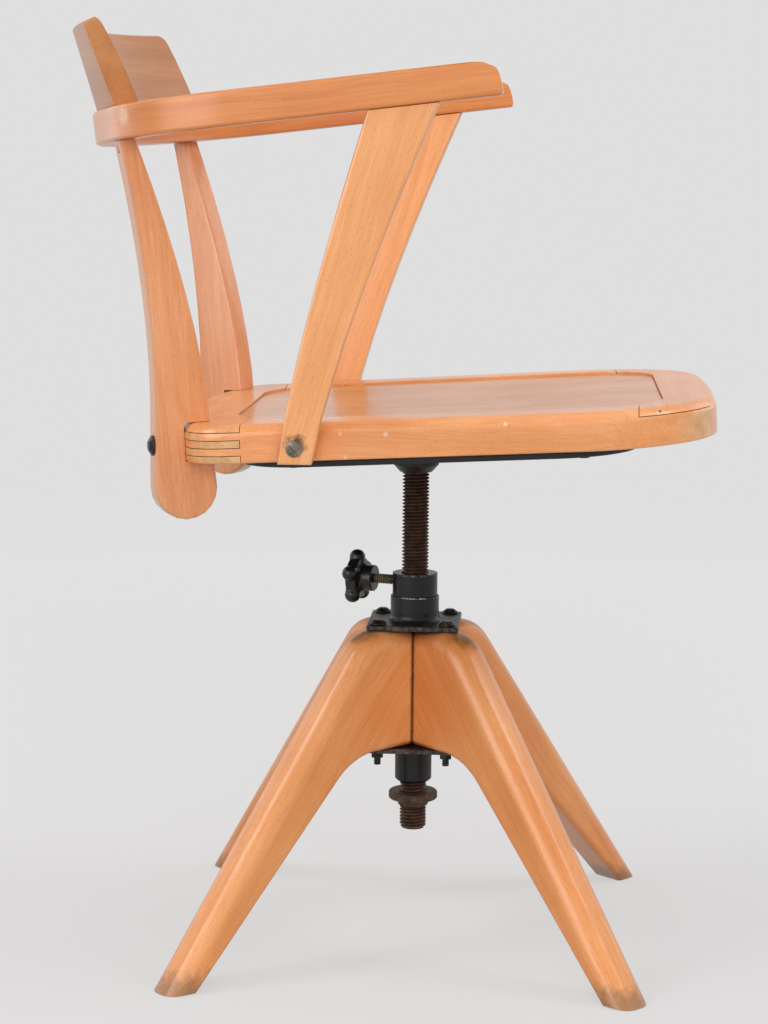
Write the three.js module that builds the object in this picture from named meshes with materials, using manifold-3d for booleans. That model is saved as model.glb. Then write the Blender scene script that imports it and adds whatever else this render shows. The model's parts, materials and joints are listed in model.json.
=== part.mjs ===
// A wooden swivel armchair on four splayed legs, with a threaded spindle that sets the seat height.
// Millimetres. Z is up, the chair faces -Y, and the origin lies on the floor under the middle of its outline.

import * as THREE from 'three';
import { mergeVertices } from 'three/addons/utils/BufferGeometryUtils.js';
import Module from 'manifold-3d';

const wasm = await Module();
wasm.setup();

// Driving dimensions of the fits
const fitGap = 0.3;
const cutOverrun = 20;
const halfTurn = Math.PI;

// Foot: four legs, mitred around the column
const legTop = 285.2;
const legThickness = 38;
const legDepth = 106.3;
const legTopReach = 67.7;
const legFootReach = 285.6;
const legSoleLength = 27;
const legKneeReach = 84.2;
const legShoulderRadius = 42;
const legArchRadius = 63;
const legEdgeRounding = 8;

// Column: plates, tube, sleeve and the bolts through the legs
const plateSide = 82;
const plateThickness = 4.6;
const plateBevel = 0.8;
const tubeRadius = 16.7;
const tubeBoreRadius = 12.8;
const tubeDrop = 32.8;
const tubeClearance = 3.3;
const sleeveRadius = 21.2;
const sleeveHeight = 21.8;
const sleeveWeld = 2.4;
const collarSpigotDepth = 12;
const boltCentre = 30.75;
const boltRadius = 3;
const boltHeadRadius = 7.6;
const boltHeadHeight = 4;
const boltDrop = 12;
const smallNutAcrossFlats = 10;
const smallNutHeight = 5;

// Threaded collar on the sleeve, with its clamping screw and star knob
const collarHeight = 20.2;
const collarRadius = 20.3;
const knobAxisDrop = 8.1;
const knobYawDegrees = 18;
const knobScrewRadius = 4.5;
const knobHubRadius = 12;
const knobHubStart = 38.7;
const knobHubEnd = 50;
const knobStarEnd = 63;
const knobLobeCount = 5;
const knobLobeCentre = 17.6;
const knobLobeRadius = 6.6;
const knobCoreRadius = 14.5;

// Spindle and its stop nut
const spindleRadius = 12;
const spindleDrop = 44.6;
const stopFlangeRadius = 22.2;
const stopFlangeGap = 9.8;
const stopFlangeHeight = 7.6;
const stopHubRadius = 13.8;
const stopNutHeight = 13;

// Seat, measured in its own tilted plane from the spindle axis
const seatTiltDegrees = 3.2;
const seatLift = 127.7;
const seatThickness = 32;
const seatFront = 264;
const seatRear = 207;
const seatFrontHalf = 212;
const seatSideTaper = 16;
const seatRearHalf = seatFrontHalf - seatSideTaper;
const frontShoulder = 187.5;
const rearShoulder = 131.8;
const sideRailWidth = 40;
const frontCornerRadius = 115;
const frontEdgeRadius = 1500;
const frontEdgeFall = 6;
const rearEdgeRadiusShare = 3.0102;
const rearEdgeRadius = seatRearHalf * rearEdgeRadiusShare;
const rearEdgeSweepDegrees = 14.5;
const rearCornerRadius = 45;
const frontRailWidth = 48;
const rearRailWidth = 60;
const openingFrontRadius = 48;
const openingRearRadius = 52;
const seatEdgeRounding = 10;
const seatEdgeEase = 2;
const combFingers = 5;
const ledgeWidth = 10;
const panelThickness = 7;
const panelRecess = 3.5;
const panelDish = 4;
const boardThickness = 5.5;
const boardInset = 8;
const boardFront = 207;
const boardRear = 158;
const boardCorner = 48;
const battenHalfWidth = 56;

// Iron hub under the seat
const hubFlangeSide = 104;
const hubFlangeThickness = 4;
const hubFlangeCorner = 14;
const hubScrewCentre = 40;
const hubRadius = 20.5;
const hubRimDrop = 29.4;
const hubThroatDepth = 6.5;
const hubThroatRadius = 14.5;

// Rear uprights, toed in towards the spindle
const uprightToeDegrees = 23;
const uprightThickness = 25;
const uprightSideInset = 46;
const uprightBackInset = 19.5;
const uprightLowWidth = 53;
const uprightDrop = 59.9;
const uprightSweepRise = 39.6;
const uprightNarrowing = 5.5;
const uprightNarrowingRise = 11.6;
const uprightRearSweep = 30;
const uprightFrontSweep = 64;
const uprightTopDrop = 25.5;
const uprightRounding = 3;

// Arm bow and crest, measured in the plane of the arms
const bowTiltDegrees = 6.73;
const bowRise = 282.6;
const bowHeight = 28;
const bowRearOverhang = 75.4;
const bowSideOverhang = 32;
const bowFront = 79;
const bowRailWidth = 27;
const bowBackRadius = 410;
const bowCornerRadius = 114;
const bowNoseLength = 26;
const bowNoseDrop = 20;
const bowEdgeRounding = 3;
const crestHeight = 73.5;
const crestHalfLength = 176;
const crestFootInset = 4.4;
const crestSweep = 12;
const crestRadiusEase = 2;
const crestTopRadius = 480;
const crestFootThickness = 21.5;
const crestTopThickness = 14;
const crestBackFall = 4;
const crestFrontEase = 1.5;
const crestCornerRadius = 7;

// Front struts between the side rails and the arms
const strutThickness = 22;
const strutProud = 10;
const strutArmInset = 2.67;
const strutDrop = 4.1;
const strutTopRise = 2;
const strutFootRear = 101;
const strutFootFront = 73;
const strutRearSweep = 74;
const strutFrontSweep = 101;
const strutRounding = 2.5;
const strutScrewBack = 87;
const strutScrewRise = 8.6;
const strutScrewHeadRadius = 6.8;
const strutScrewHeadHeight = 3.2;
const strutScrewRadius = 3;
const strutScrewLength = 46;

// Fasteners in the seat
const coachScrewHeadRadius = 8.8;
const coachScrewHeadHeight = 4;
const coachScrewRadius = 4;
const coachScrewRise = 2.4;
const coachScrewLength = 74;
const woodScrewHeadRadius = 4.4;
const woodScrewHeadHeight = 2.2;
const woodScrewRadius = 2;
const woodScrewLength = 18;
const jointPinRadius = 1.4;
const jointPinLength = 24;
const jointPinInset = 15;
const dowelRadius = 5;
const dowelLength = 24;

const rad = THREE.MathUtils.degToRad;
const seatTilt = rad(seatTiltDegrees);
const bowTilt = rad(bowTiltDegrees);
const legUnderside = legTop - legDepth;
const plateBase = legTop + fitGap;
const plateTop = plateBase + plateThickness;
const sleeveBase = plateTop + fitGap;
const lowPlateTop = legUnderside - fitGap;
const lowPlateBottom = lowPlateTop - plateThickness;
const sleeveTop = sleeveBase + sleeveHeight;
const tubeTop = sleeveTop - collarSpigotDepth - fitGap;
const tubeBottom = lowPlateBottom - tubeDrop;
const boltBottom = lowPlateBottom - boltDrop;
const collarBase = sleeveTop + fitGap;
const collarTop = collarBase + collarHeight;
const knobAxisHeight = collarTop - knobAxisDrop;
const spindleBottom = tubeBottom - spindleDrop;
const stopFlangeTop = tubeBottom - stopFlangeGap;
const stopHubBottom = stopFlangeTop - stopNutHeight;
const seatBase = collarTop + seatLift;
const hubRim = seatBase - hubRimDrop;
const hubThroat = hubRim - hubThroatDepth;
const bowBase = seatBase + bowRise;
const bowRear = seatRear + bowRearOverhang;
const bowHalfWidth = seatFrontHalf + bowSideOverhang;
const crestFootBack = bowRear - crestFootInset;
const crestTopBack = crestFootBack + crestSweep;
const crestFootRadius = bowBackRadius - crestRadiusEase;
const uprightSide = seatRearHalf - uprightSideInset;
const uprightBack = seatRear - uprightBackInset;
const uprightBottom = seatBase - uprightDrop;
const uprightSweepStart = seatBase + uprightSweepRise;
const uprightNarrowingStart = seatBase + uprightNarrowingRise;
const uprightTop = bowBase - uprightTopDrop;
const strutOuterFoot = seatFrontHalf + strutProud;
const strutBottom = seatBase - strutDrop;
const strutTop = bowBase + strutTopRise;
const strutLean = Math.atan2(bowHalfWidth - strutArmInset - strutOuterFoot, strutTop - strutBottom);
const strutScrewHeight = seatBase + strutScrewRise;
const coachScrewHeight = seatBase + coachScrewRise;
const seatTop = seatThickness;
const panelTop = seatTop - panelRecess;
const panelBottom = panelTop - panelThickness;
const sideSplayShare = (seatFrontHalf - seatRearHalf) / (frontShoulder + rearShoulder);
const uprightFrontPower = 1.5;
const uprightRearPower = 1.7;
const strutSweepPower = 1.24;

const finish = {
  beech: { color: 0xd9894f, roughness: 0.35, metalness: 0 },
  beechDark: { color: 0xb4703c, roughness: 0.45, metalness: 0 },
  panel: { color: 0xcf9470, roughness: 0.2, metalness: 0 },
  blackPaint: { color: 0x1e1e1f, roughness: 0.4, metalness: 0.1 },
  blackIron: { color: 0x24211f, roughness: 0.5, metalness: 0.6 },
  rustySteel: { color: 0x3a2620, roughness: 0.6, metalness: 0.6 },
  knobPlastic: { color: 0x151515, roughness: 0.25, metalness: 0 },
  brightSteel: { color: 0x8d877c, roughness: 0.4, metalness: 0.9 },
};

const chair = new THREE.Group();
const upright = new THREE.Vector3(0, 0, 1);

function materialOf(name) {
  return new THREE.MeshStandardMaterial(finish[name]);
}

function addPiece(group, name, geometry, finishName) {
  const mesh = new THREE.Mesh(geometry, materialOf(finishName));
  mesh.name = name;
  group.add(mesh);
  return mesh;
}

// Solids and booleans
function toSolid(geometry) {
  const bare = geometry.clone();
  bare.deleteAttribute('normal');
  bare.deleteAttribute('uv');
  const merged = mergeVertices(bare, 1e-4);
  return new wasm.Manifold(new wasm.Mesh({
    numProp: 3,
    vertProperties: new Float32Array(merged.attributes.position.array),
    triVerts: new Uint32Array(merged.index.array),
  }));
}

function toGeometry(solid) {
  const mesh = solid.getMesh();
  const geometry = new THREE.BufferGeometry();
  geometry.setAttribute('position', new THREE.BufferAttribute(new Float32Array(mesh.vertProperties), 3));
  geometry.setIndex(new THREE.BufferAttribute(new Uint32Array(mesh.triVerts), 1));
  geometry.computeVertexNormals();
  return geometry;
}

function subtractAll(solid, cutters) {
  return cutters.reduce((left, cutter) => left.subtract(cutter), solid);
}

// A cylinder, cone or prism standing on z = bottom
function post(radius, bottom, top, sides = 24, topRadius = radius) {
  const geometry = new THREE.CylinderGeometry(topRadius, radius, top - bottom, sides);
  geometry.rotateX(halfTurn / 2);
  geometry.translate(0, 0, (top + bottom) / 2);
  return geometry;
}

function block(x0, x1, y0, y1, z0, z1) {
  const geometry = new THREE.BoxGeometry(x1 - x0, y1 - y0, z1 - z0);
  geometry.translate((x0 + x1) / 2, (y0 + y1) / 2, (z0 + z1) / 2);
  return geometry;
}

function extrude(points, depth, bevel = 0, bevelSegments = 2) {
  const shape = points instanceof THREE.Shape ? points : new THREE.Shape(points);
  return new THREE.ExtrudeGeometry(shape, {
    depth: depth - 2 * bevel,
    steps: 1,
    curveSegments: 8,
    bevelEnabled: bevel > 0,
    bevelThickness: bevel,
    bevelSize: bevel,
    bevelOffset: -bevel,
    bevelSegments,
  }).translate(0, 0, bevel);
}

// Points on a circular arc between two angles in degrees
function arc(cx, cy, radius, from, to, steps) {
  return Array.from({ length: steps + 1 }, (_, i) => {
    const angle = rad(from + (to - from) * i / steps);
    return new THREE.Vector2(cx + radius * Math.cos(angle), cy + radius * Math.sin(angle));
  });
}

// An outline whose named corners are rounded: [x, y, radius]
function rounded(corners, steps = 5) {
  const count = corners.length;
  const points = [];
  corners.forEach(([x, y, radius = 0], i) => {
    const here = new THREE.Vector2(x, y);
    if (radius === 0) {
      points.push(here);
      return;
    }
    const [px, py] = corners[(i + count - 1) % count];
    const [nx, ny] = corners[(i + 1) % count];
    const before = new THREE.Vector2(px, py).sub(here).normalize();
    const after = new THREE.Vector2(nx, ny).sub(here).normalize();
    const half = Math.acos(THREE.MathUtils.clamp(before.dot(after), -1, 1)) / 2;
    const along = radius / Math.tan(half);
    const centre = before.clone().add(after).normalize().multiplyScalar(radius / Math.sin(half)).add(here);
    const start = before.multiplyScalar(along).add(here).sub(centre);
    const end = after.multiplyScalar(along).add(here).sub(centre);
    const from = start.angle();
    const sweep = Math.atan2(start.cross(end), start.dot(end));
    for (let k = 0; k <= steps; k += 1) {
      const angle = from + sweep * k / steps;
      points.push(new THREE.Vector2(Math.cos(angle), Math.sin(angle)).multiplyScalar(radius).add(centre));
    }
  });
  return points;
}

// A stack of closed rings, each a list of Vector3 of one length, joined and capped
function loft(rings) {
  const size = rings[0].length;
  const positions = rings.flat().flatMap((p) => [p.x, p.y, p.z]);
  const faces = [];
  for (let r = 0; r < rings.length - 1; r += 1) {
    for (let i = 0; i < size; i += 1) {
      const a = r * size + i;
      const b = r * size + (i + 1) % size;
      faces.push(a, b, b + size, a, b + size, a + size);
    }
  }
  const last = (rings.length - 1) * size;
  for (let i = 1; i < size - 1; i += 1) {
    faces.push(0, i + 1, i);
    faces.push(last, last + i, last + i + 1);
  }
  const geometry = new THREE.BufferGeometry();
  geometry.setAttribute('position', new THREE.Float32BufferAttribute(positions, 3));
  geometry.setIndex(faces);
  return geometry;
}

// A bar along a line between two points
function rodBetween(start, end, radius, sides = 16) {
  const along = end.clone().sub(start);
  const geometry = new THREE.CylinderGeometry(radius, radius, along.length(), sides);
  geometry.translate(0, along.length() / 2, 0);
  const up = new THREE.Vector3(0, 1, 0);
  geometry.applyQuaternion(new THREE.Quaternion().setFromUnitVectors(up, along.normalize()));
  geometry.translate(start.x, start.y, start.z);
  return geometry;
}

// A headed fastener: a domed or flat head above z = 0 and a shank below it
function fastener(headRadius, headHeight, shankRadius, length, domed) {
  const rimShare = domed ? 0.25 : 0.9;
  const crownShare = domed ? 0.45 : 0.85;
  const profile = [
    [0, -length],
    [shankRadius, -length],
    [shankRadius, 0],
    [headRadius, 0],
    [headRadius, headHeight * rimShare],
    [headRadius * (1 + crownShare) / 2, headHeight * (1 + rimShare) / 2],
    [headRadius * crownShare, headHeight],
    [0, headHeight],
  ].map(([x, y]) => new THREE.Vector2(x, y));
  return new THREE.LatheGeometry(profile, 16).rotateX(halfTurn / 2);
}


// The frames of the tilted seat and of the tilted arms
const seatGroup = new THREE.Group();
seatGroup.position.set(0, 0, seatBase);
seatGroup.rotation.x = -seatTilt;
seatGroup.updateMatrix();

const armGroup = new THREE.Group();
armGroup.position.set(0, 0, bowBase);
armGroup.rotation.x = -bowTilt;
armGroup.updateMatrix();

const baseGroup = new THREE.Group();

function fromSeat(geometry) {
  return geometry.clone().applyMatrix4(seatGroup.matrix);
}

function toSeat(geometry) {
  return geometry.clone().applyMatrix4(seatGroup.matrix.clone().invert());
}

function fromArms(geometry) {
  return geometry.clone().applyMatrix4(armGroup.matrix);
}

function toArms(geometry) {
  return geometry.clone().applyMatrix4(armGroup.matrix.clone().invert());
}

// Moves every point of a smooth closed outline along its outward normal
function offsetOutline(points, distance) {
  const count = points.length;
  return points.map((point, i) => {
    const along = points[(i + 1) % count].clone().sub(points[(i + count - 1) % count]).normalize();
    return new THREE.Vector2(point.x + along.y * distance, point.y - along.x * distance);
  });
}

function ring(points, z) {
  return points.map((p) => new THREE.Vector3(p.x, p.y, z));
}

// A slab whose upper edge is rounded over and whose lower edge is eased
function roundedSlab(outline, thickness, topRounding, lowRounding) {
  const shoulder = thickness - topRounding;
  const stations = [[lowRounding, 0], [0, lowRounding], [0, shoulder]];
  const steps = 3;
  for (let i = 1; i <= steps; i += 1) {
    const turn = (halfTurn / 2) * i / steps;
    stations.push([topRounding * (1 - Math.cos(turn)), shoulder + topRounding * Math.sin(turn)]);
  }
  return loft(stations.map(([inset, z]) => ring(offsetOutline(outline, -inset), z)));
}

// Four legs, each with a pointed inner end that meets its neighbours on the centre planes
function legProfile() {
  const heel = legFootReach - legSoleLength;
  const below = 2 * legEdgeRounding;
  return rounded([
    [-cutOverrun, legUnderside],
    [legKneeReach, legUnderside, legArchRadius],
    [heel + (heel - legKneeReach) * below / legUnderside, -below],
    [legFootReach + (legFootReach - legTopReach) * below / legTop, -below],
    [legTopReach, legTop, legShoulderRadius],
    [-cutOverrun, legTop],
  ]);
}

function mitreWedge() {
  const reach = legFootReach + cutOverrun;
  const clear = fitGap / 2 * Math.SQRT2;
  const wedge = extrude([
    new THREE.Vector2(clear, 0),
    new THREE.Vector2(reach + clear, -reach),
    new THREE.Vector2(reach + clear, reach),
  ], legTop + cutOverrun);
  return wedge;
}

function legGeometry() {
  const board = extrude(legProfile(), legThickness, legEdgeRounding, 3);
  board.rotateX(halfTurn / 2);
  board.translate(0, legThickness / 2, 0);
  const boltReach = boltCentre * Math.SQRT2;
  const hole = post(boltRadius + fitGap, legUnderside - cutOverrun, legTop + cutOverrun, 16);
  const bore = post(tubeRadius + tubeClearance, legUnderside - cutOverrun, legTop + cutOverrun, 32);
  const blank = toSolid(board).intersect(toSolid(mitreWedge()));
  return toGeometry(subtractAll(blank, [toSolid(hole.translate(boltReach, 0, 0)), toSolid(bore)]));
}

function addLegs() {
  const names = ['front_left', 'rear_left', 'rear_right', 'front_right'];
  const geometry = legGeometry();
  names.forEach((name, i) => {
    const leg = addPiece(baseGroup, `leg_${name}`, geometry.clone(), 'beech');
    leg.rotation.z = -halfTurn / 4 + i * halfTurn / 2;
  });
}

// Two square steel plates clamp the legs, with a sleeve above
function boltPlaces() {
  return [[1, -1], [1, 1], [-1, 1], [-1, -1]].map(([x, y]) => [x * boltCentre, y * boltCentre]);
}

function clampPlate(bottom) {
  const half = plateSide / 2;
  const outline = rounded([[-half, -half, plateBevel], [half, -half, plateBevel],
    [half, half, plateBevel], [-half, half, plateBevel]], 1);
  const holes = boltPlaces().map(([x, y]) => {
    const hole = post(boltRadius + fitGap, bottom - cutOverrun, bottom + plateThickness + cutOverrun, 16);
    return toSolid(hole.translate(x, y, 0));
  });
  const boreTop = bottom + plateThickness + cutOverrun;
  const bore = post(tubeRadius + tubeClearance, bottom - cutOverrun, boreTop, 32);
  const plate = extrude(outline, plateThickness, plateBevel, 1).translate(0, 0, bottom);
  return toGeometry(subtractAll(toSolid(plate), [...holes, toSolid(bore)]));
}

function turned(profile, sides) {
  const points = profile.map(([x, y]) => new THREE.Vector2(x, y));
  points.push(points[0].clone());
  return new THREE.LatheGeometry(points, sides).rotateX(halfTurn / 2);
}

function sleeveGeometry() {
  const bore = tubeRadius + fitGap;
  return turned([
    [bore, sleeveBase],
    [sleeveRadius + sleeveWeld, sleeveBase],
    [sleeveRadius, sleeveBase + sleeveWeld],
    [sleeveRadius, sleeveTop],
    [bore, sleeveTop],
  ], 40);
}

function tubeGeometry() {
  const wall = tubeRadius - tubeBoreRadius;
  return turned([
    [tubeBoreRadius, tubeBottom],
    [tubeRadius - wall / 2, tubeBottom],
    [tubeRadius, tubeBottom + wall / 2],
    [tubeRadius, tubeTop],
    [tubeBoreRadius, tubeTop],
  ], 32);
}

function smallNut(acrossFlats, height, bore) {
  const outer = new THREE.Shape(arc(0, 0, acrossFlats / Math.sqrt(3), 0, 300, 5));
  outer.holes.push(new THREE.Path(arc(0, 0, bore, 0, 345, 23).reverse()));
  return extrude(outer, height);
}

function addColumn() {
  addPiece(baseGroup, 'top_plate', clampPlate(plateBase), 'blackPaint');
  addPiece(baseGroup, 'bottom_plate', clampPlate(lowPlateBottom), 'blackPaint');
  addPiece(baseGroup, 'column_sleeve', sleeveGeometry(), 'blackPaint');
  const names = ['front_left', 'rear_left', 'rear_right', 'front_right'];
  boltPlaces().forEach(([x, y], i) => {
    const length = plateTop + fitGap - boltBottom;
    const bolt = fastener(boltHeadRadius, boltHeadHeight, boltRadius, length, true);
    addPiece(baseGroup, `base_bolt_${names[i]}`, bolt, 'blackPaint').position.set(x, y, plateTop + fitGap);
    const nut = smallNut(smallNutAcrossFlats, smallNutHeight, boltRadius + fitGap);
    const nutBase = lowPlateBottom - fitGap - smallNutHeight;
    addPiece(baseGroup, `base_nut_${names[i]}`, nut, 'blackPaint').position.set(x, y, nutBase);
  });
}

// The threaded collar and the long tube turn in the sleeve, and the collar carries the clamping knob
function collarGeometry() {
  const bore = spindleRadius + fitGap;
  const spigot = tubeRadius - fitGap;
  const collar = turned([
    [bore, tubeTop + fitGap],
    [spigot, tubeTop + fitGap],
    [spigot, collarBase],
    [collarRadius, collarBase],
    [collarRadius, collarTop],
    [bore, collarTop],
  ], 40);
  const mouth = new THREE.Vector3(0, collarRadius + cutOverrun, 0).applyAxisAngle(upright, -rad(knobYawDegrees));
  const middle = new THREE.Vector3(0, 0, knobAxisHeight);
  const hole = rodBetween(middle, mouth.add(middle), knobScrewRadius + fitGap);
  return toGeometry(toSolid(collar).subtract(toSolid(hole)));
}

// A star of round lobes about a hub, along +Z from the hub's inner face
function starOutline() {
  const points = [];
  const steps = 6;
  const spread = 100;
  for (let lobe = 0; lobe < knobLobeCount; lobe += 1) {
    const turn = 360 * lobe / knobLobeCount - 90;
    const x = knobLobeCentre * Math.cos(rad(turn));
    const y = knobLobeCentre * Math.sin(rad(turn));
    points.push(...arc(x, y, knobLobeRadius, turn - spread, turn + spread, steps));
    const between = rad(turn + 180 / knobLobeCount);
    points.push(new THREE.Vector2(knobCoreRadius * Math.cos(between), knobCoreRadius * Math.sin(between)));
  }
  return points;
}

function knobGeometry() {
  const bevel = (knobStarEnd - knobHubEnd) / 5;
  const star = extrude(starOutline(), knobStarEnd - knobHubEnd, bevel).translate(0, 0, knobHubEnd);
  const hub = post(knobHubRadius, knobHubStart, knobHubEnd + bevel, 28);
  const socket = post(knobScrewRadius + fitGap, knobHubStart - cutOverrun, knobHubEnd, 16);
  return toGeometry(toSolid(star).add(toSolid(hub)).subtract(toSolid(socket)));
}

function addCollar() {
  addPiece(chair, 'threaded_collar', collarGeometry(), 'blackPaint');
  addPiece(chair, 'column_tube', tubeGeometry(), 'blackPaint');
  const yaw = new THREE.Group();
  yaw.position.set(0, 0, knobAxisHeight);
  yaw.rotation.z = -rad(knobYawDegrees);
  chair.add(yaw);
  const axis = new THREE.Group();
  axis.rotation.x = -halfTurn / 2;
  yaw.add(axis);
  const tip = spindleRadius + 2 * fitGap;
  addPiece(axis, 'star_knob', knobGeometry(), 'knobPlastic');
  addPiece(axis, 'clamp_screw', post(knobScrewRadius, tip, knobHubEnd - fitGap, 16), 'rustySteel');
}

// Spindle with its stop nut, and the iron hub that carries the seat
function spindleGeometry() {
  const chamfer = spindleRadius / 5;
  return toGeometry(toSolid(new THREE.LatheGeometry([
    new THREE.Vector2(0, spindleBottom),
    new THREE.Vector2(spindleRadius - chamfer, spindleBottom),
    new THREE.Vector2(spindleRadius, spindleBottom + chamfer),
    new THREE.Vector2(spindleRadius, spindleTop - fitGap),
    new THREE.Vector2(0, spindleTop - fitGap),
  ], 32).rotateX(halfTurn / 2)));
}

function stopNutGeometry() {
  const bore = spindleRadius + fitGap;
  const flangeBottom = stopFlangeTop - stopFlangeHeight;
  const ease = stopFlangeHeight / 6;
  return turned([
    [bore, stopHubBottom],
    [stopHubRadius, stopHubBottom],
    [stopHubRadius, flangeBottom],
    [stopFlangeRadius - ease, flangeBottom],
    [stopFlangeRadius, flangeBottom + ease],
    [stopFlangeRadius, stopFlangeTop - ease],
    [stopFlangeRadius - ease, stopFlangeTop],
    [bore, stopFlangeTop],
  ], 36);
}

const boardBottom = -fitGap - boardThickness;
const flangeTop = boardBottom - fitGap;
const flangeBottom = flangeTop - hubFlangeThickness;
const spindleTop = seatBase + flangeBottom - hubFlangeThickness;

function hubGeometry() {
  const half = hubFlangeSide / 2;
  const outline = rounded([[-half, -half, hubFlangeCorner], [half, -half, hubFlangeCorner],
    [half, half, hubFlangeCorner], [-half, half, hubFlangeCorner]], 4);
  const flange = fromSeat(extrude(outline, hubFlangeThickness).translate(0, 0, flangeBottom));
  const boss = new THREE.LatheGeometry([
    new THREE.Vector2(0, hubThroat),
    new THREE.Vector2(hubThroatRadius, hubThroat),
    new THREE.Vector2(hubRadius, hubRim),
    new THREE.Vector2(hubRadius, seatBase + flangeBottom + hubFlangeThickness / 2),
    new THREE.Vector2(0, seatBase + flangeBottom + hubFlangeThickness / 2),
  ], 36).rotateX(halfTurn / 2);
  const bore = post(spindleRadius + fitGap, hubThroat - cutOverrun, spindleTop, 32);
  const holes = hubScrewPlaces().map(([x, y]) => {
    const hole = post(woodScrewRadius + fitGap, flangeBottom - cutOverrun, flangeTop + cutOverrun, 12);
    return toSolid(fromSeat(hole.translate(x, y, 0)));
  });
  return toGeometry(subtractAll(toSolid(flange).add(toSolid(boss)), [toSolid(bore), ...holes]));
}

function hubScrewPlaces() {
  return [[1, -1], [1, 1], [-1, 1], [-1, -1]].map(([x, y]) => [x * hubScrewCentre, y * hubScrewCentre]);
}

function screwUp(x, y, base, length) {
  const screw = fastener(woodScrewHeadRadius, woodScrewHeadHeight, woodScrewRadius, length, false);
  screw.rotateX(halfTurn);
  return screw.translate(x, y, base);
}

function addSpindle() {
  addPiece(chair, 'spindle', spindleGeometry(), 'rustySteel');
  addPiece(chair, 'stop_nut', stopNutGeometry(), 'blackIron');
  addPiece(chair, 'seat_hub', hubGeometry(), 'blackIron');
  const names = ['front_left', 'rear_left', 'rear_right', 'front_right'];
  hubScrewPlaces().forEach(([x, y], i) => {
    const screw = screwUp(x, y, flangeBottom - fitGap, woodScrewLength);
    addPiece(seatGroup, `hub_screw_${names[i]}`, screw, 'brightSteel');
  });
}

// The seat frame: four rails cut from one outline, comb jointed at the corners
function sideOuter(y) {
  return seatRearHalf + (rearShoulder - y) * sideSplayShare;
}

function mirroredCorners(corners) {
  const left = corners.map(([x, y, r]) => [-x, y, r]).reverse();
  return corners.concat(left);
}

function seatOutline() {
  const sweep = rad(rearEdgeSweepDegrees);
  const apex = seatRear + rearEdgeRadius * (1 / Math.cos(sweep) - 1);
  const rearY = apex - Math.tan(sweep) * sideOuter(rearShoulder);
  const frontY = -(seatFront - frontEdgeFall);
  const side = [
    [sideOuter(frontY), frontY, frontCornerRadius],
    [sideOuter(rearY), rearY, rearCornerRadius],
  ];
  return rounded([[0, -seatFront, frontEdgeRadius], ...side, [0, apex, rearEdgeRadius],
    ...side.map(([x, y, r]) => [-x, y, r]).reverse()], 8);
}

function openingOutline(inset) {
  const frontY = -(seatFront - frontRailWidth);
  const rearY = seatRear - rearRailWidth;
  const corners = [
    [sideOuter(frontY) - sideRailWidth, frontY, openingFrontRadius],
    [sideOuter(rearY) - sideRailWidth, rearY, openingRearRadius],
  ];
  return offsetOutline(rounded(mirroredCorners(corners), 6), -inset);
}

function frameBlank() {
  const slab = toSolid(roundedSlab(seatOutline(), seatThickness, seatEdgeRounding, seatEdgeEase));
  const rebate = extrude(openingOutline(0), seatThickness).translate(0, 0, panelBottom - fitGap);
  const well = extrude(openingOutline(ledgeWidth), seatThickness + 2 * cutOverrun);
  well.translate(0, 0, -cutOverrun);
  return subtractAll(slab, [toSolid(rebate), toSolid(well)]);
}

// A block set out from a side rail's inner edge: across the rail, along it to the front, and up
function railBlock(side, across, along, up) {
  const box = block(across[0], across[1], -along[1], -along[0], up[0], up[1]);
  box.rotateZ(Math.atan(sideSplayShare));
  box.translate(seatRearHalf - sideRailWidth, rearShoulder, 0);
  if (side > 0) {
    return box;
  }
  box.scale(-1, 1, 1);
  const index = box.index.array;
  for (let i = 0; i < index.length; i += 3) {
    [index[i], index[i + 1]] = [index[i + 1], index[i]];
  }
  return box;
}

const railLength = (frontShoulder + rearShoulder) * Math.hypot(1, sideSplayShare);
const far = seatFront + seatRear;
const fullHeight = [-cutOverrun, seatThickness + cutOverrun];
const fingerHeight = seatThickness / combFingers;

// The heights of the fingers that belong to an end rail (even) or to a side rail (odd)
function fingerLayers(own, grow) {
  const layers = [];
  for (let i = 0; i < combFingers; i += 1) {
    if (i % 2 === own) {
      const low = i === 0 ? -cutOverrun : i * fingerHeight - grow;
      const high = i === combFingers - 1 ? seatThickness + cutOverrun : (i + 1) * fingerHeight + grow;
      layers.push([low, high]);
    }
  }
  return layers;
}

function sideRailGeometry(side, blank) {
  const gap = fitGap / 2;
  const ends = [[-far, -gap], [railLength + gap, far]];
  const region = toSolid(railBlock(side, [-openingRearRadius, far], [-far, far], fullHeight));
  const cuts = [];
  ends.forEach((along) => {
    fingerLayers(0, gap).forEach((up) => cuts.push(railBlock(side, [-far, far], along, up)));
    cuts.push(railBlock(side, [-far, gap], along, fullHeight));
  });
  cuts.push(toSeat(strutScrewHole(side)), toSeat(coachScrewHole(side)));
  return toGeometry(subtractAll(blank.intersect(region), [...cuts.map(toSolid), ...pinHoles()]));
}

function endRailGeometry(front, blank) {
  const gap = fitGap / 2;
  const half = front ? block(-far, far, -far, 0, ...fullHeight) : block(-far, far, 0, far, ...fullHeight);
  const cuts = [];
  [1, -1].forEach((side) => {
    cuts.push(railBlock(side, [-openingRearRadius - cutOverrun, far], [-gap, railLength + gap], fullHeight));
    const along = front ? [railLength - cutOverrun, far] : [-far, cutOverrun];
    fingerLayers(1, gap).forEach((up) => cuts.push(railBlock(side, [-gap, far], along, up)));
    if (!front) {
      cuts.push(toSeat(coachScrewHole(side)));
    }
  });
  return toGeometry(subtractAll(blank.intersect(toSolid(half)), [...cuts.map(toSolid), ...pinHoles()]));
}

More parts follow.
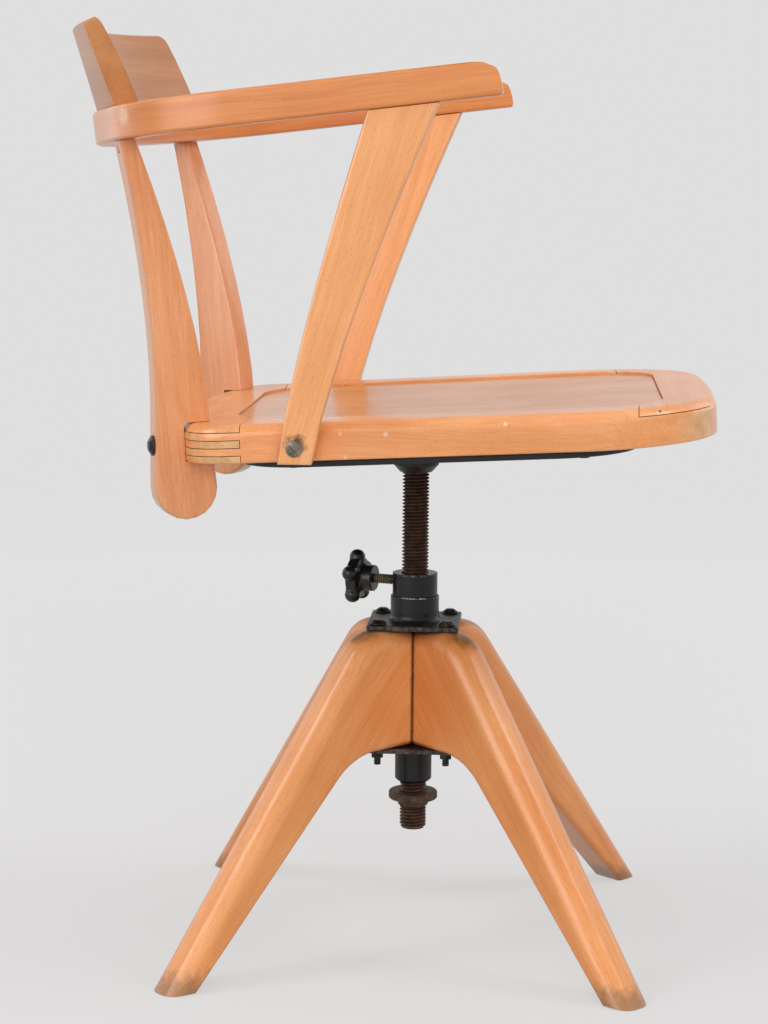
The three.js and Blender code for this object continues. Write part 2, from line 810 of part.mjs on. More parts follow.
// A pin through each corner joint, driven from above
function pinPlaces() {
  const places = [];
  [['left', 1], ['right', -1]].forEach(([name, side]) => {
    [['front', railLength + jointPinInset], ['rear', -jointPinInset]].forEach(([end, along]) => {
      const spot = new THREE.Vector2(sideRailWidth / 2, -along);
      spot.rotateAround(new THREE.Vector2(0, 0), Math.atan(sideSplayShare));
      places.push([`${end}_${name}`, side * (spot.x + seatRearHalf - sideRailWidth), spot.y + rearShoulder]);
    });
  });
  return places;
}

function pinHoles() {
  return pinPlaces().map(([, x, y]) => {
    const floor = seatThickness - jointPinLength - fitGap;
    const hole = post(jointPinRadius + fitGap, floor, seatThickness + cutOverrun, 12);
    return toSolid(hole.translate(x, y, 0));
  });
}

// The dished panel lies in the rebate of the rails
function panelGeometry() {
  const outline = openingOutline(fitGap);
  const middle = new THREE.Vector2(0, -(seatFront - frontRailWidth - seatRear + rearRailWidth) / 2);
  const shares = [0.96, 0.88, 0.76, 0.6, 0.4, 0.2];
  const rings = [ring(outline, panelBottom), ring(outline, panelTop)];
  shares.forEach((share) => {
    const inner = outline.map((p) => p.clone().sub(middle).multiplyScalar(share).add(middle));
    rings.push(ring(inner, panelTop - panelDish * (1 - share ** 2)));
  });
  return loft(rings);
}

function boardOutline() {
  const corners = [
    [sideOuter(-boardFront) - boardInset, -boardFront, boardCorner],
    [sideOuter(boardRear) - boardInset, boardRear, boardCorner],
  ];
  return rounded(mirroredCorners(corners), 6);
}

function throughHoles(places, radius, low, high) {
  return places.map(([x, y]) => toSolid(post(radius, low, high, 12).translate(x, y, 0)));
}

function boardGeometry() {
  const board = extrude(boardOutline(), boardThickness).translate(0, 0, boardBottom);
  const places = [...hubScrewPlaces(), ...boardScrewPlaces()];
  const holes = throughHoles(places, woodScrewRadius + fitGap, boardBottom - cutOverrun, cutOverrun);
  return toGeometry(subtractAll(toSolid(board), holes));
}

function boardScrewPlaces() {
  const front = -(frontShoulder - sideRailWidth);
  const rear = rearShoulder - sideRailWidth;
  return [front, rear].flatMap((y) => {
    const x = sideOuter(y) - sideRailWidth / 2;
    return [[x, y], [-x, y]];
  });
}

function battenGeometry() {
  const reach = sideOuter(battenHalfWidth) - sideRailWidth - ledgeWidth - fitGap;
  const batten = block(-reach, reach, -battenHalfWidth, battenHalfWidth, 0, panelBottom - fitGap - panelDish);
  const top = panelBottom + cutOverrun;
  const holes = throughHoles(hubScrewPlaces(), woodScrewRadius + fitGap, -cutOverrun, top);
  return toGeometry(subtractAll(toSolid(batten), holes));
}

function addSeat() {
  const blank = frameBlank();
  const boardHoles = throughHoles(boardScrewPlaces(), woodScrewRadius + fitGap, -cutOverrun,
    woodScrewLength - boardThickness);
  const drilled = subtractAll(blank, boardHoles);
  addPiece(seatGroup, 'side_rail_left', sideRailGeometry(1, drilled), 'beech');
  addPiece(seatGroup, 'side_rail_right', sideRailGeometry(-1, drilled), 'beech');
  addPiece(seatGroup, 'front_rail', endRailGeometry(true, drilled), 'beech');
  addPiece(seatGroup, 'rear_rail', endRailGeometry(false, drilled), 'beech');
  addPiece(seatGroup, 'seat_panel', panelGeometry(), 'panel');
  addPiece(seatGroup, 'under_board', boardGeometry(), 'blackPaint');
  addPiece(seatGroup, 'cross_batten', battenGeometry(), 'beechDark');
  pinPlaces().forEach(([name, x, y]) => {
    const pin = post(jointPinRadius, seatThickness - jointPinLength, seatThickness, 12);
    addPiece(seatGroup, `joint_pin_${name}`, pin.translate(x, y, 0), 'brightSteel');
  });
  const names = ['front_left', 'front_right', 'rear_left', 'rear_right'];
  boardScrewPlaces().forEach(([x, y], i) => {
    const screw = screwUp(x, y, boardBottom - fitGap, woodScrewLength);
    addPiece(seatGroup, `board_screw_${names[i]}`, screw, 'brightSteel');
  });
}

// Solids that clear the neighbours of the seat frame and of the arm bow
function seatClearance() {
  const outline = offsetOutline(seatOutline(), fitGap);
  const slab = extrude(outline, seatThickness + 2 * fitGap).translate(0, 0, -fitGap);
  return toSolid(fromSeat(slab));
}

function aboveArmPlane() {
  const reach = bowRear + cutOverrun;
  return toSolid(fromArms(block(-reach, reach, -reach, reach, -fitGap, bowHeight + reach)));
}

// Rear uprights: a toed board, straight below the seat and swept back above it
function uprightSides(z) {
  const rearShare = Math.max(0, (z - uprightSweepStart) / (uprightTop - uprightSweepStart));
  const frontShare = Math.max(0, (z - uprightNarrowingStart) / (uprightTop - uprightNarrowingStart));
  const lowShare = Math.max(0, (z - uprightBottom) / (uprightNarrowingStart - uprightBottom));
  const narrow = uprightNarrowing * Math.min(1, lowShare);
  const half = uprightLowWidth / 2;
  return [-half - uprightRearSweep * rearShare ** uprightRearPower,
    half - narrow - uprightFrontSweep * frontShare ** uprightFrontPower];
}

function uprightProfile() {
  const radius = uprightLowWidth / 2;
  const top = uprightTop + cutOverrun;
  const points = arc(0, uprightBottom + radius, radius, 180, 360, 10);
  const steps = 9;
  const heights = Array.from({ length: steps + 1 }, (_, i) => uprightNarrowingStart
    + (top - uprightNarrowingStart) * i / steps);
  heights.forEach((z) => points.push(new THREE.Vector2(uprightSides(z)[1], z)));
  heights.reverse().forEach((z) => points.push(new THREE.Vector2(uprightSides(z)[0], z)));
  return points;
}

// Sets a board drawn as width and height to stand on its toed line; its width grows to the front
function standUpright(geometry, side) {
  geometry.rotateX(halfTurn / 2);
  geometry.rotateZ(-halfTurn / 2 - side * rad(uprightToeDegrees));
  return geometry.translate(side * uprightSide, uprightBack, 0);
}

function uprightGeometry(side) {
  const board = extrude(uprightProfile(), uprightThickness, uprightRounding);
  board.translate(0, 0, -uprightThickness / 2);
  const blank = toSolid(standUpright(board, side));
  return toGeometry(subtractAll(blank, [seatClearance(), aboveArmPlane(),
    toSolid(coachScrewHole(side)), toSolid(uprightDowel(side, fitGap))]));
}

// The hole for a screw, open behind its head and one gap longer than its shank
function screwHole(start, along, radius, length) {
  const from = start.clone().addScaledVector(along, -cutOverrun);
  const to = start.clone().addScaledVector(along, length + fitGap);
  return rodBetween(from, to, radius + fitGap);
}

function dowelPost(middle, grow) {
  const half = dowelLength / 2 + grow;
  return post(dowelRadius + grow, middle - half, middle + half, 16);
}

function coachScrewAxis(side) {
  const toe = -side * rad(uprightToeDegrees);
  const along = new THREE.Vector3(0, -1, 0).applyAxisAngle(new THREE.Vector3(0, 0, 1), toe);
  const start = new THREE.Vector3(side * uprightSide, uprightBack, coachScrewHeight);
  return { along, start: start.addScaledVector(along, -uprightLowWidth / 2 - fitGap) };
}

function coachScrewHole(side) {
  const { along, start } = coachScrewAxis(side);
  return screwHole(start, along, coachScrewRadius, coachScrewLength);
}

function placeAlong(geometry, direction, start) {
  geometry.applyQuaternion(new THREE.Quaternion().setFromUnitVectors(new THREE.Vector3(0, 0, -1), direction));
  return geometry.translate(start.x, start.y, start.z);
}

function uprightDowel(side, grow) {
  const [rear, front] = uprightSides(uprightTop);
  const back = (rear + front) / 2;
  const toe = rad(uprightToeDegrees);
  const x = side * (uprightSide - back * Math.sin(toe));
  return dowelPost(uprightTop, grow).translate(x, uprightBack - back * Math.cos(toe), 0);
}

// Front struts: a leaning board outside each side rail, wider at the top
function strutProfile() {
  const height = strutTop - strutBottom;
  const steps = 8;
  const shares = Array.from({ length: steps + 1 }, (_, i) => i / steps);
  const extra = cutOverrun / height;
  const stations = [...shares, 1 + extra];
  const edge = (foot, sweep) => stations.map((t) => new THREE.Vector2(
    -foot + sweep * t ** strutSweepPower, strutBottom + height * t));
  return edge(strutFootFront, strutFrontSweep).concat(edge(strutFootRear, strutRearSweep).reverse());
}

function strutGeometry(side) {
  const board = extrude(strutProfile(), strutThickness, strutRounding);
  board.translate(0, 0, -strutThickness / 2);
  board.rotateX(halfTurn / 2);
  board.rotateZ(-halfTurn / 2);
  board.translate(0, 0, -strutBottom);
  board.rotateY(side * strutLean);
  board.translate(side * (strutOuterFoot - strutThickness / 2), 0, strutBottom);
  return toGeometry(subtractAll(toSolid(board), [seatClearance(), aboveArmPlane(),
    toSolid(strutScrewHole(side)), toSolid(strutDowel(side, fitGap))]));
}

function strutOuter(z) {
  return strutOuterFoot + (z - strutBottom) * Math.tan(strutLean);
}

function strutScrewStart(side) {
  return new THREE.Vector3(side * (strutOuter(strutScrewHeight) + fitGap), strutScrewBack, strutScrewHeight);
}

// Square to the leaning outer face
function strutScrewDirection(side) {
  const lean = strutLean;
  return new THREE.Vector3(-side * Math.cos(lean), 0, Math.sin(lean));
}

function strutScrewHole(side) {
  return screwHole(strutScrewStart(side), strutScrewDirection(side), strutScrewRadius, strutScrewLength);
}

function strutDowel(side, grow) {
  const back = strutFootRear + strutFootFront - strutRearSweep - strutFrontSweep;
  const x = side * (strutOuter(strutTop) - strutThickness / 2);
  return dowelPost(strutTop, grow).translate(x, back / 2, 0);
}

function coachScrew() {
  return fastener(coachScrewHeadRadius, coachScrewHeadHeight, coachScrewRadius, coachScrewLength, true);
}

function strutScrew() {
  return fastener(strutScrewHeadRadius, strutScrewHeadHeight, strutScrewRadius, strutScrewLength, true);
}

function addSupports() {
  [['left', 1], ['right', -1]].forEach(([name, side]) => {
    addPiece(chair, `upright_${name}`, uprightGeometry(side), 'beech');
    addPiece(chair, `front_strut_${name}`, strutGeometry(side), 'beech');
    addPiece(chair, `upright_dowel_${name}`, uprightDowel(side, 0), 'beechDark');
    addPiece(chair, `strut_dowel_${name}`, strutDowel(side, 0), 'beechDark');
    const { along, start } = coachScrewAxis(side);
    addPiece(chair, `upright_bolt_${name}`, placeAlong(coachScrew(), along, start), 'blackPaint');
    const screw = placeAlong(strutScrew(), strutScrewDirection(side), strutScrewStart(side));
    addPiece(chair, `strut_screw_${name}`, screw, 'brightSteel');
  });
}

// The bent arm bow: a wide curve behind the sitter, round corners, straight arms and dropped noses
function bowLine(inset) {
  const backCentre = bowRear - bowBackRadius;
  const cornerX = bowHalfWidth - bowCornerRadius;
  const cornerY = backCentre + Math.sqrt((bowBackRadius - bowCornerRadius) ** 2 - cornerX ** 2);
  const meet = THREE.MathUtils.radToDeg(Math.atan2(cornerY - backCentre, cornerX));
  const right = [
    new THREE.Vector2(bowHalfWidth - inset, -bowFront),
    ...arc(cornerX, cornerY, bowCornerRadius - inset, 0, meet, 9),
    ...arc(0, backCentre, bowBackRadius - inset, meet, 90, 5).slice(1),
  ];
  return right.concat(right.slice(0, -1).reverse().map((p) => new THREE.Vector2(-p.x, p.y)));
}

function bowOutline() {
  return bowLine(0).concat(bowLine(bowRailWidth).reverse());
}

function bowSideProfile() {
  const reach = bowRear + cutOverrun;
  const corner = rounded([
    [-reach, -cutOverrun],
    [bowFront, -cutOverrun],
    [bowFront, bowHeight - bowNoseDrop],
    [bowFront - bowNoseLength / 8, bowHeight - bowNoseDrop / 3],
    [bowFront - bowNoseLength / 2, bowHeight - bowNoseDrop / 16],
    [bowFront - bowNoseLength, bowHeight],
    [bowFront - bowNoseLength, bowHeight + cutOverrun],
    [-reach, bowHeight + cutOverrun],
  ]);
  return corner;
}

function bowGeometry() {
  const bow = toSolid(extrude(bowOutline(), bowHeight, bowEdgeRounding));
  const span = 2 * (bowHalfWidth + cutOverrun);
  const side = extrude(bowSideProfile(), span).translate(0, 0, -span / 2);
  side.rotateX(halfTurn / 2);
  side.rotateZ(-halfTurn / 2);
  const holes = [1, -1].flatMap((s) => [uprightDowel(s, fitGap), strutDowel(s, fitGap)]);
  const cuts = [...holes.map(toArms), ...[1, -1].map((s) => crestDowel(s, fitGap))];
  return toGeometry(subtractAll(bow.intersect(toSolid(side)), cuts.map(toSolid)));
}

// The crest stands on the bow, curved in plan and leaning back
function crestSection(height) {
  const share = height / crestHeight;
  const back = crestFootBack + (crestTopBack - crestFootBack) * share;
  const radius = crestFootRadius + (crestTopRadius - crestFootRadius) * share;
  const thickness = crestFootThickness + (crestTopThickness - crestFootThickness) * share ** 2;
  return { centre: back - radius, radius, thickness };
}

function crestPoint(share, height, depth) {
  const { centre, radius, thickness } = crestSection(height);
  const reach = Math.asin(crestHalfLength / radius);
  const angle = reach * share;
  const r = radius - thickness * depth;
  return new THREE.Vector3(r * Math.sin(angle), centre + r * Math.cos(angle), bowHeight + fitGap + height);
}

// The crest's top falls to the back, and its upper corners are rounded
function crestGeometry() {
  const steps = 12;
  const even = Array.from({ length: steps + 1 }, (_, i) => -1 + 2 * i / steps).slice(1, -1);
  const near = [1, 0.5, 0.15, 0].map((part) => part * crestCornerRadius);
  const ends = near.map((along) => 1 - along / crestHalfLength);
  const shares = [...ends.map((share) => -share).reverse(), ...even, ...ends];
  const levels = [0, crestHeight / 3, crestHeight * 2 / 3];
  const rings = shares.map((share) => {
    const short = Math.max(0, crestCornerRadius - (1 - Math.abs(share)) * crestHalfLength);
    const drop = crestCornerRadius - Math.sqrt(crestCornerRadius ** 2 - short ** 2);
    const top = crestHeight - drop;
    const ease = crestFrontEase / crestTopThickness;
    const stations = [...levels.map((height) => [height, 0]), [top - crestBackFall, 0], [top, 1 - ease],
      [top - crestFrontEase, 1], ...levels.map((height) => [height, 1]).reverse()];
    return stations.map(([height, depth]) => crestPoint(share, height, depth));
  });
  return toGeometry(subtractAll(toSolid(loft(rings)), [1, -1].map((s) => toSolid(crestDowel(s, fitGap)))));
}

function crestDowel(side, grow) {
  const foot = crestPoint(side / 2, 0, 0.5);
  return dowelPost(bowHeight + fitGap / 2, grow).translate(foot.x, foot.y, 0);
}

function addArms() {
  addPiece(armGroup, 'arm_bow', bowGeometry(), 'beech');
  addPiece(armGroup, 'crest_rail', crestGeometry(), 'beech');
  addPiece(armGroup, 'crest_dowel_left', crestDowel(1, 0), 'beechDark');
  addPiece(armGroup, 'crest_dowel_right', crestDowel(-1, 0), 'beechDark');
}

addLegs();
addColumn();
addCollar();
addSpindle();
addSeat();
addSupports();
addArms();
chair.add(baseGroup, seatGroup, armGroup);

// The origin lies on the floor under the middle of the whole outline
const outline = new THREE.Box3().setFromObject(chair, true);
chair.position.set(0, -(outline.min.y + outline.max.y) / 2, 0);
const object = new THREE.Group();
object.add(chair);

export default object;
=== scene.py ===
import json
import math
from functools import partial

import bmesh
import bpy
from mathutils import Matrix, Vector


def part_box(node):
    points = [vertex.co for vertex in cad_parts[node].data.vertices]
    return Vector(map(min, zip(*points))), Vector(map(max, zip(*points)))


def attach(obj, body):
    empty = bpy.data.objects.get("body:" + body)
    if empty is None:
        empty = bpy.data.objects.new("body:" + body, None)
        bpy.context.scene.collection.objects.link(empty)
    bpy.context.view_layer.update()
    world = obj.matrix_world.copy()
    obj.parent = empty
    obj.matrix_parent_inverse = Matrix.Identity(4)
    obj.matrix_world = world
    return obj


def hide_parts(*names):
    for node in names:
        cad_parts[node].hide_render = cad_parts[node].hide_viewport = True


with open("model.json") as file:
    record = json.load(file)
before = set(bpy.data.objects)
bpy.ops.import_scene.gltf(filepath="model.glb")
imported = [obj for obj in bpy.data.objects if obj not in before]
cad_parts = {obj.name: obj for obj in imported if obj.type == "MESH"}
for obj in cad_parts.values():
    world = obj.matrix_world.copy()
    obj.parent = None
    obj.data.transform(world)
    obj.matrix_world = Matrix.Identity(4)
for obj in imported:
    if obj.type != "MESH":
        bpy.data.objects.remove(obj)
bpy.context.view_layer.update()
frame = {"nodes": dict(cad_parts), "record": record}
bodyOf = {node: body for body, nodes in frame["record"]["behaviour"]["bodies"].items() for node in nodes}
spindleLow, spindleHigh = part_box("spindle")
axisY = (spindleLow.y + spindleHigh.y) / 2 * 1000  # mm, the spindle stands at x = 0 on this line
print("frame loaded:", len(frame["nodes"]), "nodes, spindle at y", round(axisY, 3))


def linear(code):
    parts = [int(code[i:i + 2], 16) / 255 for i in (0, 2, 4)]
    return (*[p / 12.92 if p <= 0.04045 else ((p + 0.055) / 1.055) ** 2.4 for p in parts], 1.0)


def metres(x, y, z):  # from millimetres, with y counted from the spindle
    return Vector((x / 1000, (y + axisY) / 1000, z / 1000))


def setInputs(node, inputs):  # a dictionary names the sockets, a list fills them in the node's own order
    sockets = [s for s in node.inputs if s.enabled]
    for key, value in (inputs.items() if isinstance(inputs, dict) else enumerate(inputs)):
        socket = sockets[key] if isinstance(key, int) else next(s for s in sockets if s.name == key)
        if isinstance(value, bpy.types.NodeSocket):
            node.id_data.links.new(value, socket)
        else:
            socket.default_value = value


def addNode(tree, kind, inputs=(), take=None, **settings):
    node = tree.nodes.new("ShaderNode" + kind)
    for name, value in settings.items():
        setattr(node, name, value)
    setInputs(node, inputs)
    outputs = [s for s in node.outputs if s.enabled]
    return next((s for s in outputs if s.name == take), outputs[0])


def newMaterial(name):
    material = bpy.data.materials.new(name)
    material.use_nodes = True
    add = partial(addNode, material.node_tree)
    return material, material.node_tree.nodes["Principled BSDF"], add, add("TexCoord", take="Object")


def tinted(add, colour, code, value, start, end, strength=1.0):  # blends a hex in from start to end
    share = add("MapRange", [value, start, end, 0.0, strength])
    return add("Mix", [share, colour, linear(code)], data_type="RGBA")


def meshObject(name, bm):
    mesh = bpy.data.meshes.new(name)
    bmesh.ops.recalc_face_normals(bm, faces=bm.faces)
    bm.to_mesh(mesh)
    bm.free()
    made = bpy.data.objects.new(name, mesh)
    bpy.context.scene.collection.objects.link(made)
    return made


bpy.context.scene.view_settings.view_transform = "Standard"

photoView = {
    "distance": 2.21506,  # metres from the spindle
    "height": 0.70375,
    "sideways": -0.02851,
    "turnDegrees": -3.86,  # 0 looks along +X
    "pitchDegrees": 8.13,
    "rollDegrees": 0.46,
    "focalPixels": 2488.47,
    "pictureHeight": 1024,
    "sensor": 36,
    "clipEnd": 100,
}


def addCamera(data):
    turn, pitch, roll = [math.radians(data[k]) for k in ("turnDegrees", "pitchDegrees", "rollDegrees")]
    ahead = Vector((math.cos(turn) * math.cos(pitch), -math.sin(turn) * math.cos(pitch), -math.sin(pitch)))
    right = Vector((-math.sin(turn), -math.cos(turn), 0))
    up = right.cross(ahead)
    eye = metres(0, 0, data["height"] * 1000) + right * data["sideways"]
    eye -= Vector((math.cos(turn), -math.sin(turn), 0)) * data["distance"]
    xAxis = right * math.cos(roll) + up * math.sin(roll)
    yAxis = up * math.cos(roll) - right * math.sin(roll)
    lens = bpy.data.cameras.new("photoCamera")
    lens.sensor_width = data["sensor"]
    lens.lens = data["focalPixels"] / data["pictureHeight"] * data["sensor"]
    lens.clip_end = data["clipEnd"]
    camera = bpy.data.objects.new("photoCamera", lens)
    camera.matrix_world = Matrix.Translation(eye) @ Matrix((xAxis, yAxis, -ahead)).transposed().to_4x4()
    bpy.context.scene.collection.objects.link(camera)
    bpy.context.scene.camera = camera


addCamera(photoView)
print("camera placed")

studio = {
    "floorRadius": 16,
    "floorSides": 96,
    "floorHex": "e4e3e2",
    "bounceHex": "a9a6a3",  # what the floor throws back on the chair
    "backdropHex": "e0dfdf",
    "glow": 0.68,  # share of the floor's own level, which keeps its shadows soft
    "fadeFrom": 0.5,  # metres from the chair, where the floor starts to melt into the backdrop
    "fadeTo": 3.2,
    "paperTuft": 3.84615,  # mm
    "paperUneven": 0.015,
    "worldStrength": 0.52,
    "aimHeight": 0.3,  # metres, where the boxes point
    "suns": [
        # name, direction it comes from, strength, angle across, seen in the gloss
        ("leftKey", (-0.22, 0.66, 0.72), 0.68, 20, True),
        ("rightKey", (-0.02, -0.7, 0.7), 0.54, 20, True),
        ("fillLight", (-0.97, -0.1, 0.2), 1.72, 46, False),
        ("topLight", (-0.1, 0.1, 1.0), 0.36, 70, False),
    ],
    "boxes": [
        # name, place in metres, width, height, brightness: seen in the gloss only, like strip softboxes
        ("leftFrontBox", (-1.8, 1.45, 1.0), 1.9, 1.3, 3.3),
        ("leftBackBox", (1.0, 2.1, 1.1), 1.8, 1.5, 1.1),
        ("rightBackBox", (1.4, -1.9, 1.25), 1.6, 1.5, 0.8),
    ],
}


def seenShare(add):  # 1 for what the camera sees, straight, in a gloss or through something clear
    rays = [add("LightPath", take=f"Is {kind} Ray") for kind in ("Camera", "Glossy", "Transmission")]
    seen = add("Math", rays[:2], operation="MAXIMUM")
    return add("Math", [seen, rays[2]], operation="MAXIMUM")


def addFloor(data):
    bm = bmesh.new()
    bmesh.ops.create_circle(bm, cap_ends=True, segments=data["floorSides"], radius=data["floorRadius"])
    floor = meshObject("studioFloor", bm)
    material, shader, add, place = newMaterial("matFloorPaper")  # unglazed paper, no gloss
    weave = add("TexNoise", {"Vector": place, "Scale": 1000 / data["paperTuft"], "Detail": 2.0})
    uneven = data["paperUneven"]
    level = add("MapRange", [weave, 0.0, 1.0, 1 - uneven, 1 + uneven])
    far = add("VectorMath", [place], take="Value", operation="LENGTH")
    fade = add("MapRange", [far, data["fadeFrom"], data["fadeTo"]], interpolation_type="SMOOTHERSTEP")
    seen = seenShare(add)
    tone = add("Mix", [seen, linear(data["bounceHex"]), linear(data["floorHex"])], data_type="RGBA")
    tone = add("VectorMath", {0: tone, "Scale": level}, operation="SCALE")
    setInputs(shader, {"Base Color": tone, "Roughness": 0.95, "Specular IOR Level": 0.0})
    least = add("Math", [fade, data["glow"]], operation="MAXIMUM")
    share = add("Math", [seen, least], operation="MULTIPLY")
    glow = add("Emission", {"Color": linear(data["backdropHex"])})
    blend = add("MixShader", [share, shader.outputs["BSDF"], glow])
    setInputs(material.node_tree.nodes["Material Output"], {"Surface": blend})
    floor.data.materials.append(material)


def addWorld(data):
    world = bpy.data.worlds.new("studioWorld")
    bpy.context.scene.world = world
    world.use_nodes = True
    add = partial(addNode, world.node_tree)
    unseen = (*[data["worldStrength"]] * 3, 1)
    colour = add("Mix", [seenShare(add), unseen, linear(data["backdropHex"])], data_type="RGBA")
    setInputs(world.node_tree.nodes["Background"], {"Color": colour})


def placeLamp(name, kind, energy, facing):
    light = bpy.data.lights.new(name, kind)
    light.energy = energy
    lamp = bpy.data.objects.new(name, light)
    lamp.rotation_euler = Vector(facing).to_track_quat("Z", "Y").to_euler()
    bpy.context.scene.collection.objects.link(lamp)
    return light, lamp


def addLamps(data):
    for name, origin, power, angle, inGloss in data["suns"]:
        light, lamp = placeLamp(name, "SUN", power, origin)
        light.angle = math.radians(angle)
        lamp.visible_glossy = inGloss
    for name, spot, width, height, brightness in data["boxes"]:
        energy = brightness * math.pi * width * height
        light, lamp = placeLamp(name, "AREA", energy, (*spot[:2], data["aimHeight"]))
        light.shape = "RECTANGLE"
        light.size, light.size_y = width, height
        lamp.location = spot
        lamp.visible_camera = lamp.visible_diffuse = False


addFloor(studio)
addWorld(studio)
addLamps(studio)
print("floor and light made")

# Bent and sawn beech under amber varnish: honey orange, long soft growth bands, fine fibres, small ray flecks
beechLook = {
    "paleHex": "eaa76d",
    "middleHex": "e29a5d",
    "darkHex": "d58a4e",
    "fleckHex": "9a5a33",
    "endHex": "e2b780",
    "endDarkHex": "c4905a",
    "endShare": 0.88,
    "bandWidth": 12,  # mm across one growth band
    "bandLength": 460,
    "bandShare": 0.4,
    "fibreWidth": 1.3,  # real fibres are finer, drawn this coarse to show
    "fibreLength": 60,
    "fibreShare": 0.34,
    "driftLength": 142.857,  # mm from one slow bend of the fibres to the next
    "drift": 11,  # mm that they stray
    "patchSize": 125,
    "patchShare": 0.3,
    "fleckWidth": 1.1,
    "fleckLength": 4.5,
    "fleckShare": 0.34,
    "fleckStrength": 0.3,
    "relief": 0.2,  # mm
    "roughness": 0.34,
    "coat": 0.45,
    "coatRoughness": 0.14,
    "shine": 0.5,  # specular level, lower where the varnish is thin
    "blotSize": 9.0909,  # mm, the ragged edges of stain marks, dirt and painted shade
    "stainsAndShade": [],  # patches of stain and of painted shade: x, y, z, reach in mm, strength and hex
    "spots": [],  # nail dots and chips: x, y, z, radius in mm, strength and hex
    "footHeight": 0,  # mm of soiled wood above the floor
    "footHex": "7c5c3c",
    "footRimHex": "a98a66",
    "seam": 0,  # mm of dirt beside the joints where the four legs meet
    "seamHex": "4a2413",
}


def grainScale(look, part):  # repeats in a metre, along the fibres and across them
    return 1000 / look[part + "Length"], 1000 / look[part + "Width"], 1000 / look[part + "Width"]


def grainTone(add, look, grain):
    slow, patchy = 1000 / look["driftLength"], 1000 / look["patchSize"]
    cloud = add("TexNoise", {"Vector": grain, "Scale": slow, "Detail": 2.0}, take="Color")
    wander = add("VectorMath", {0: cloud, "Scale": look["drift"] / 1000}, operation="SCALE")
    bent = add("VectorMath", [grain, wander])
    layers = []
    for part in ("band", "fibre"):
        spot = add("VectorMath", [bent, grainScale(look, part)], operation="MULTIPLY")
        layers.append(add("TexNoise", {"Vector": spot, "Scale": 1.0, "Detail": 3.0, "Roughness": 0.6}))
    band, fibre = layers
    patch = add("TexNoise", {"Vector": grain, "Scale": patchy, "Detail": 2.0})
    share = look["bandShare"]
    tone = add("MapRange", [band, 0.25, 0.75, 0.5 - share, 0.5 + share])
    for source, share in ((fibre, look["fibreShare"]), (patch, look["patchShare"])):
        part = add("MapRange", [source, 0.27, 0.73, -share, share])
        tone = add("Math", [tone, part], operation="ADD")
    return tone, fibre, patch


def beechColour(add, look, grain, tone, endness):
    colour = tinted(add, linear(look["paleHex"]), look["middleHex"], tone, 0.0, 0.5)
    colour = tinted(add, colour, look["darkHex"], tone, 0.5, 1.0, 0.85)
    spot = add("VectorMath", [grain, grainScale(look, "fleck")], operation="MULTIPLY")
    near, pick = [add("TexVoronoi", {"Vector": spot, "Scale": 1.0}, take=t) for t in ("Distance", "Color")]
    picked = add("SeparateColor", [pick], take="Red")
    chosen = add("Math", [picked, look["fleckShare"]], operation="LESS_THAN")
    dash = add("MapRange", [near, 0.4, 0.12, 0.0, look["fleckStrength"]])
    fleck = add("Math", [dash, chosen], operation="MULTIPLY")
    colour = add("Mix", [fleck, colour, linear(look["fleckHex"])], data_type="RGBA")
    endTone = tinted(add, linear(look["endHex"]), look["endDarkHex"], tone, 0.2, 0.9)
    endPart = add("Math", [endness, look["endShare"]], operation="MULTIPLY")
    return add("Mix", [endPart, colour, endTone], data_type="RGBA"), fleck


def besideSpindle(add, place):  # how far a point lies from the spindle's line, along x and along y
    middle = add("VectorMath", [place, metres(0, 0, 0)], operation="SUBTRACT")
    spread = add("VectorMath", [middle], operation="ABSOLUTE")
    return [add("SeparateXYZ", [spread], take=axis) for axis in ("X", "Y")]


def soiledAndShaded(add, look, place, colour):  # grease and rust stain marks, painted shade, nail dots, chips, and dirt on the feet
    blots = 1000 / look["blotSize"]
    blot = add("TexNoise", {"Vector": place, "Scale": blots, "Detail": 4.0, "Roughness": 0.7})
    # patches of stain, and of painted shade where a look asks for it, blended in with ragged edges
    for x, y, z, reach, strength, code in look["stainsAndShade"]:
        away = add("VectorMath", [place, metres(x, y, z)], take="Value", operation="DISTANCE")
        fade = add("MapRange", [away, reach / 1000, reach / 4000])
        ragged = add("Math", [fade, blot, -0.22], operation="MULTIPLY_ADD", use_clamp=True)
        colour = tinted(add, colour, code, ragged, 0.0, 0.26, strength)
    for x, y, z, radius, strength, code in look["spots"]:
        away = add("VectorMath", [place, metres(x, y, z)], take="Value", operation="DISTANCE")
        colour = tinted(add, colour, code, away, radius / 1000, radius / 2200, strength)
    if look["footHeight"]:
        top = look["footHeight"] / 1000
        height = add("SeparateXYZ", [place], take="Z")
        climb = add("Math", [blot, top * 1.5, height], operation="MULTIPLY_ADD")
        colour = tinted(add, colour, look["footHex"], climb, top * 1.7, top * 1.05, 0.7)
        colour = tinted(add, colour, look["footRimHex"], climb, top * 0.86, top * 0.7, 0.45)
    if look["seam"]:
        least = add("Math", besideSpindle(add, place), operation="MINIMUM")
        ragged = add("Math", [blot, -look["seam"] / 700, least], operation="MULTIPLY_ADD")
        colour = tinted(add, colour, look["seamHex"], ragged, look["seam"] / 1500, -look["seam"] / 2200, 0.85)
    return colour


